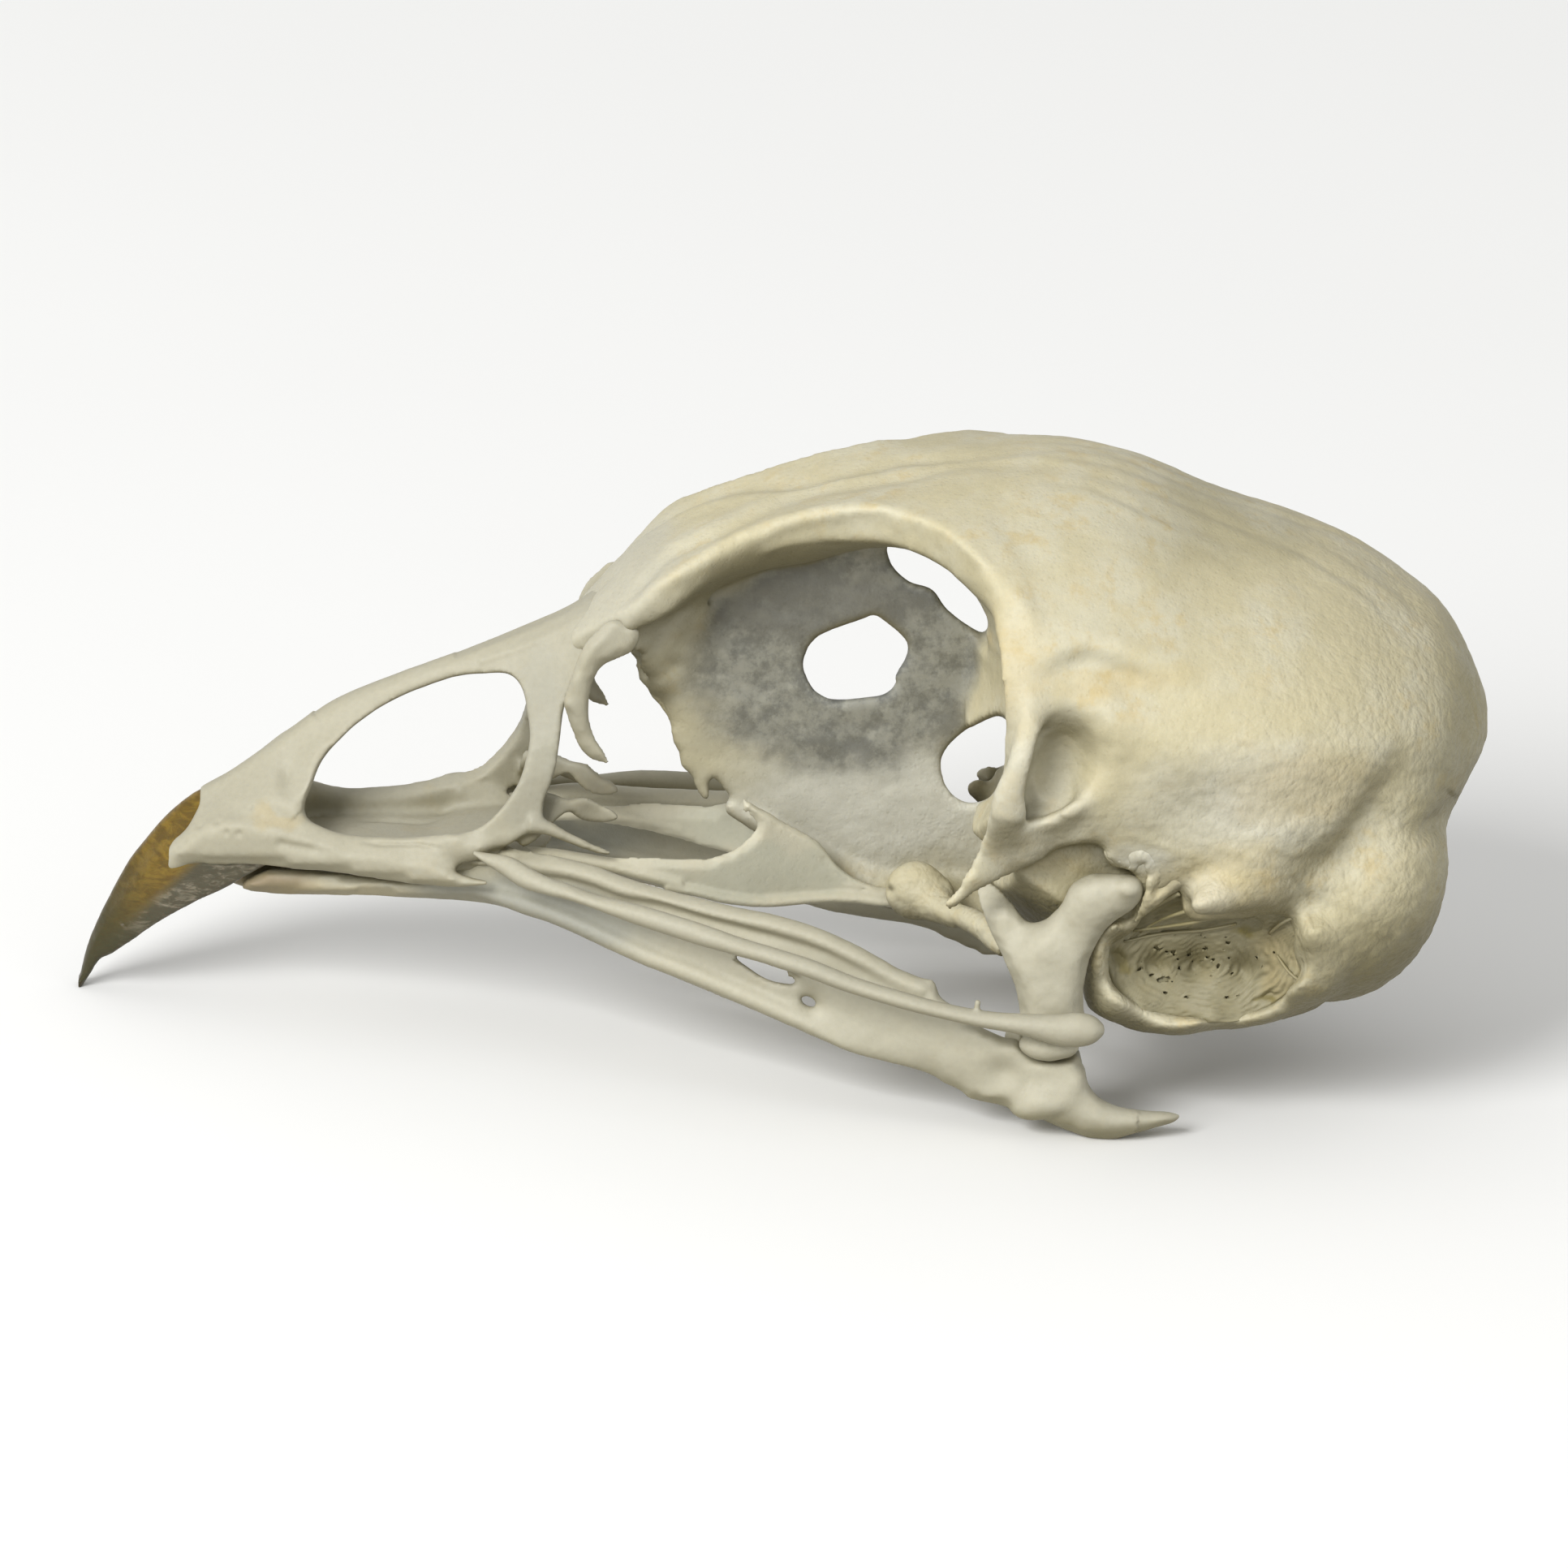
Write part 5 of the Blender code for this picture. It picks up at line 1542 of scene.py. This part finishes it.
def lacrimalShape():
    blade = sheet(
        lacrimalOutline,
        [(770, 780, -2.34), (735, 805, -2.44), (715, 850, -2.46), (745, 935, -2.35)],
        [(770, 780, 0.42), (735, 805, 0.5), (715, 850, 0.5), (745, 935, 0.32)],
        edge=10,
    )
    work = Surface(bone([blade], [], smallBones))
    work.soften([(760, 785), (725, 820), (712, 870), (735, 925)], 0.6, 5)
    work.stroke([(704, 860), (716, 825), (734, 797), (756, 780)], 0.14, 0.04, ends=(0.3, 0.3))
    return work.done()


def palatineShape():
    side = [
        (512, -0.85), (620, -1.3), (706, -1.85), (789, -2.2), (836, -2.2), (880, -2.1), (914, -1.95),
        (944, -1.75), (979, -1.5), (1026, -1.25), (1106, -1.15),
    ]
    blade = sheet(palatineOutline, side, 0.34, edge=7)
    sideAt = between(side)
    rail = [
        (820, 1090), (858, 1097), (892, 1105), (940, 1110), (996, 1106), (1040, 1104), (1080, 1108),
        (1106, 1110),
    ]
    crest = [(920, 992), (940, 1003), (967, 1020), (1008, 1044), (1030, 1070), (1055, 1087), (1090, 1100)]
    front = [(600, 1047), (675, 1054), (740, 1064), (800, 1078), (840, 1088)]
    bars = [
        seenTube([(u, v, sideAt(u, v) - 0.1, 0.26, 0.16) for u, v in rail], 12, 4),
        seenTube([(u, v, sideAt(u, v) - 0.02, 0.13, 0.07) for u, v in crest], 12, 4),
        seenTube([(u, v, sideAt(u, v) - 0.05, 0.26, 0.2) for u, v in front], 12, 4),
    ]
    work = Surface(bone([blade] + bars, [], smallBones))
    work.roughen(0.8, 0.012, 3)
    return work.done()


def pterygoidShape():
    lump = ball(seen(1129, 1098, -1.9), (0.94, 0.6, 0.9))
    second = ball(seen(1152, 1106, -1.95), (0.62, 0.5, 0.72))
    rod = seenTube(
        [
            (1130, 1104, -1.9, 0.55, 0.6),
            (1165, 1122, -2.7, 0.42, 0.44),
            (1195, 1132, -3.7, 0.33, 0.36),
            (1222, 1150, -4.6, 0.33, 0.42),
            (1240, 1168, -5.1, 0.3, 0.3),
        ]
    )
    work = Surface(bone([lump, second, rod], [], smallBones))
    work.soften([(1100, 1090), (1140, 1095), (1180, 1090)], 1.2, 40)
    work.soften([(1150, 1080), (1150, 1112), (1185, 1120)], 0.4, 16)
    work.roughen(0.7, 0.04, 3, seed=2.0)
    work.dab(1093, 1098, 0.14, -0.12)
    return work.done()


def quadrateShape():
    body = sheet(
        quadrateOutline,
        [
            (1214, 1092, -4.7), (1245, 1140, -5.7), (1295, 1180, -6.4), (1295, 1270, -6.4),
            (1350, 1110, -6.6), (1402, 1092, -6.85),
        ],
        [
            (1214, 1092, 0.4), (1240, 1130, 0.7), (1290, 1160, 1.3), (1295, 1260, 1.6), (1350, 1110, 1.1),
            (1402, 1092, 0.9),
        ],
        edge=24,
    )
    pieces = [
        body,
        ball(seen(1292, 1287, -6.9), (0.85, 0.55, 0.42)),
        ball(seen(1272, 1278, -5.7), (0.8, 0.7, 0.5)),
        ball(seen(1388, 1092, -6.9), (0.42, 0.4, 0.32)),
    ]
    work = Surface(bone(pieces, [], smallBones))
    work.soften([(1300, 1130), (1296, 1180), (1294, 1250)], 1.0, 16)
    work.soften([(1310, 1120), (1350, 1105), (1390, 1095)], 0.6, 10)
    work.dab(1300, 1170, 0.4, -0.08, tall=0.9, turn=10)
    work.stroke([(1262, 1258), (1285, 1270), (1310, 1268)], 0.14, -0.06)
    work.roughen(0.8, 0.03, 3, seed=4.0)
    return work.done()


def jugalShape():
    rows = [
        (584, 1050, -2.7, 0.1, 0.05),
        (602, 1058, -2.95, 0.2, 0.15),
        (625, 1067, -3.35, 0.25, 0.28),
        (648, 1081, -3.85, 0.27, 0.3),
        (675, 1092, -4.2, 0.27, 0.24),
        (700, 1099, -4.55, 0.27, 0.2),
        (732, 1110, -4.85, 0.27, 0.19),
        (790, 1128, -5.5, 0.27, 0.28),
        (860, 1150, -6.1, 0.27, 0.3),
        (914, 1167, -6.5, 0.27, 0.25),
        (990, 1190, -6.95, 0.27, 0.25),
        (1050, 1213, -7.15, 0.27, 0.23),
        (1127, 1236, -7.5, 0.27, 0.22),
        (1199, 1253, -7.65, 0.27, 0.22),
        (1257, 1261, -7.8, 0.3, 0.29),
        (1303, 1268, -7.88, 0.36, 0.45),
        (1328, 1268, -7.9, 0.38, 0.5),
        (1347, 1268, -7.88, 0.34, 0.38),
        (1359, 1268, -7.87, 0.1, 0.12),
    ]
    bar = seenTube(rows, 16, 5)
    spur = seenTube(
        [(1204, 1250, -7.65, 0.1, 0.1), (1203, 1240, -7.65, 0.07, 0.07), (1205, 1232, -7.65, 0.08, 0.08)],
        10, 3,
    )
    work = Surface(bone([bar, spur], [], smallBones))
    work.roughen(0.9, 0.012, 2)
    return work.done()


billBone = boneMaterial(
    "billBone",
    {
        "ivory": 0.75,
        "stain": 0.15,
        "mottle": 0.08,
        "grain": 0.25,
        "pores": 0.15,
        "level": 0.73,
        # how strongly faces turned down get the painted underside shade
        "undersideShade": 0.75,
        "patches": [
            ((-7.0, 0.0, 1.6), (1.0, 9.0, 2.6), "greyPale", 0.3),
            ((-14.6, 0.0, -0.4), (0.8, 9.0, 0.25), "amber", 0.35),
        ],
    },
)
jawBone = boneMaterial(
    "jawBone",
    {
        "level": 0.86,
        # how strongly faces turned down get the painted underside shade
        "undersideShade": 0.66,
        "ivory": 0.85,
        "stain": 0.08,
        "mottle": 0.08,
        "grain": 0.3,
        "pores": 0.15,
        "patches": [
            ((-15.2, 0.0, -2.8), (2.1, 3.0, 1.0), "umber", 0.75),
            ((-12.0, 0.0, -2.8), (2.4, 3.0, 0.5), "amber", 0.25),
            ((-7.2, 0.0, -2.9), (3.6, 9.0, 1.0), "greyPale", 0.9),
            ((6.2, 0.0, -8.0), (0.6, 9.0, 0.5), "grey", 0.25),
        ],
    },
)
jugalBone = boneMaterial(
    "jugalBone",
    {
        # undersideShade: how strongly faces turned down get painted shade
        "level": 0.76, "undersideShade": 0.7, "ivory": 0.85, "stain": 0.06, "mottle": 0.08, "grain": 0.3,
        "pores": 0.15,
    },
)
webBone = boneMaterial(
    "webBone",
    {
        "ivory": 0.4,
        "stain": 0.2,
        "mottle": 0.1,
        "grain": 0.2,
        "pores": 0.1,
        "patches": [
            # painted shade: the web deep in the ear cavity darkened all over, with its cleft and holes darker
            # still
            ((12.0, 0.0, -3.6), (6.0, 9.0, 4.0), "oliveShade", 0.68),
            ((14.0, 0.0, -3.4), (0.6, 9.0, 1.4), "amber", 0.3),
            ((10.7, 0.0, -1.6), (1.5, 9.0, 0.75), "ochreShade", 0.6),
            ((9.45, 0.0, -3.35), (0.42, 9.0, 0.35), "ochreShade", 0.7),
            ((13.27, 0.0, -2.42), (0.4, 9.0, 0.26), "ochreShade", 0.9),
            ((13.75, 0.0, -4.55), (0.3, 9.0, 0.18), "ochreShade", 0.7),
            ((11.4, 0.0, -3.2), (1.4, 9.0, 0.35), "oliveShade", 0.3),
        ],
    },
)
palateBone = boneMaterial(
    "palateBone",
    {
        "ivory": 0.8,
        "stain": 0.0,
        "mottle": 0.08,
        "grain": 0.25,
        "level": 1.02,
        # how strongly faces turned down get the painted underside shade
        "undersideShade": 0.45,
        "patches": [((-0.3, 0.0, -2.0), (2.9, 9.0, 0.75), "mossy", 0.5)],
    },
)


hornFinish = {
    "gold": (0.185, 0.118, 0.017, 1),
    "brown": (0.1, 0.062, 0.011, 1),
    "grey": (0.07, 0.062, 0.038, 1),
    "greyPale": (0.2, 0.175, 0.125, 1),
    "tip": (0.04, 0.036, 0.013, 1),
    "roughness": 0.35,
    "gloss": 0.25,
    "glow": 0.15,
    "glowDepth": 0.0005,
    "grain": 0.35,
    "reliefDepth": 0.00005,
}


def hornMaterial():
    material, shader, wire = newMaterial(
        "hornBrown",
        hornFinish["roughness"],
        {
            "Subsurface Weight": hornFinish["glow"],
            "Subsurface Scale": hornFinish["glowDepth"],
            "Specular IOR Level": hornFinish["gloss"],
        },
    )
    point = wire.skullPoint()
    x, y, z = wire.parts(point)
    streaks = wire.cloud(wire.scaled(point, (1.0, 1.0, 3.0)), 1.6, 5.0, 0.65, 0.6)
    specks = wire.cloud(point, 7.0, 3.0, 0.6)
    gold = wire.blend(streaks.rise(0.35, 0.65), hornFinish["gold"], hornFinish["brown"])
    under = wire.blend(streaks.rise(0.47, 0.7), hornFinish["grey"], hornFinish["greyPale"])
    below = 1 - (z - (x + 20.1) * 1.05 + 5.45 + streaks * 0.5).rise(0.0, 0.7)
    colour = wire.blend(below, gold, under)
    dark = 1 - (x + z * 0.25 + streaks * 0.8).rise(-20.3, -17.6)
    colour = wire.blend(dark * 0.92, colour, hornFinish["tip"])
    tone = (specks - 0.5) * 0.3 + 1.0
    colour = wire.toned(colour, tone)
    wire.plug(shader.inputs["Base Color"], colour)
    wire.plug(shader.inputs["Roughness"], streaks * 0.3 + 0.22)
    relief = streaks + specks * 0.3
    values = {"Height": relief, "Strength": hornFinish["grain"], "Distance": hornFinish["reliefDepth"]}
    wire.plug(shader.inputs["Normal"], wire.node("ShaderNodeBump", {}, values))
    return material


finished(workCranium(craniumShape()), "cranium_bone", craniumBone, "cranium", "interorbital_septum")
for make, stem, finish in ((earWebShape, "ear_web_", webBone), (earEdgeShape, "ear_edge_", craniumBone)):
    for shape, tag in zip(bothSides([make()]), ("left", "right")):
        finished(shape, stem + tag, finish)
finished(upperBillShape(), "upper_bill_bone", billBone, "upper_bill")
finished(hornShape(), "bill_horn", hornMaterial(), "bill_sheath")
finished(lowerJawShape(), "lower_jaw_bone", jawBone, "mandible")
for make, stem, finish in (
    (lacrimalShape, "lacrimal", billBone),
    (palatineShape, "palatine", palateBone),
    (pterygoidShape, "pterygoid", craniumBone),
    (quadrateShape, "quadrate", jawBone),
    (jugalShape, "jugal", jugalBone),
):
    for shape, tag in zip(bothSides([make()]), ("left", "right")):
        finished(shape, stem + "_bone_" + tag, finish, stem + "_" + tag)


# floor, light and camera

studio = {
    "floor": (0.95, 0.95, 0.94, 1),
    "floorHalf": 1.5,
    "cameraDistance": 2000.0,
    "sensorWidth": 36.0,
    "worldTone": (1, 1, 0.99, 1),
    "worldLight": 0.61,
    "keyPower": 2.22,
    "keySize": 0.19,
    "keySpot": (-0.224, -0.35, 0.27),
    "keyAim": (0, 0, 0.008),
}


def floorSheet():
    mesh = bmesh.new()
    bmesh.ops.create_grid(mesh, x_segments=8, y_segments=8, size=studio["floorHalf"])
    floor = newShape(mesh)
    floor.name = "studio_floor"
    material, shader, wire = newMaterial("paleFloor", 0.8)
    grain = wire.cloud(wire.skullPoint(), 0.05, 2.0)
    colour = wire.blend(grain, studio["floor"], [c * 0.98 for c in studio["floor"][:3]] + [1])
    wire.plug(shader.inputs["Base Color"], colour)
    floor.data.materials.append(material)


def keyLamp():
    light = bpy.data.lights.new("keyLight", "AREA")
    light.size = studio["keySize"]
    light.energy = studio["keyPower"]
    lampObject = bpy.data.objects.new("keyLight", light)
    lampObject.location = studio["keySpot"]
    aim = Vector(studio["keyAim"]) - Vector(studio["keySpot"])
    lampObject.rotation_euler = aim.to_track_quat("-Z", "Y").to_euler()
    bpy.context.scene.collection.objects.link(lampObject)


def setCamera():
    camera = bpy.data.cameras.new("camera")
    distance = studio["cameraDistance"]
    camera.sensor_width = studio["sensorWidth"]
    camera.lens = studio["sensorWidth"] * distance * stand["pixelsPerMm"] / stand["pictureWidth"]
    camera.clip_end = 100.0
    cameraObject = bpy.data.objects.new("camera", camera)
    tilt = Matrix.Rotation(math.radians(90 - stand["lookDown"]), 4, "X")
    spot = setting @ tilt @ Matrix.Translation((0, 0, distance))
    place = spot.decompose()
    cameraObject.location = place[0]
    cameraObject.rotation_mode = "QUATERNION"
    cameraObject.rotation_quaternion = place[1]
    bpy.context.scene.collection.objects.link(cameraObject)
    bpy.context.scene.camera = cameraObject


floorSheet()
keyLamp()
world = bpy.data.worlds.new("studioWorld")
world.use_nodes = True
sky = world.node_tree.nodes["Background"]
sky.inputs[0].default_value = studio["worldTone"]
sky.inputs[1].default_value = studio["worldLight"]
bpy.context.scene.world = world
bpy.context.scene.view_settings.view_transform = "Standard"
setCamera()
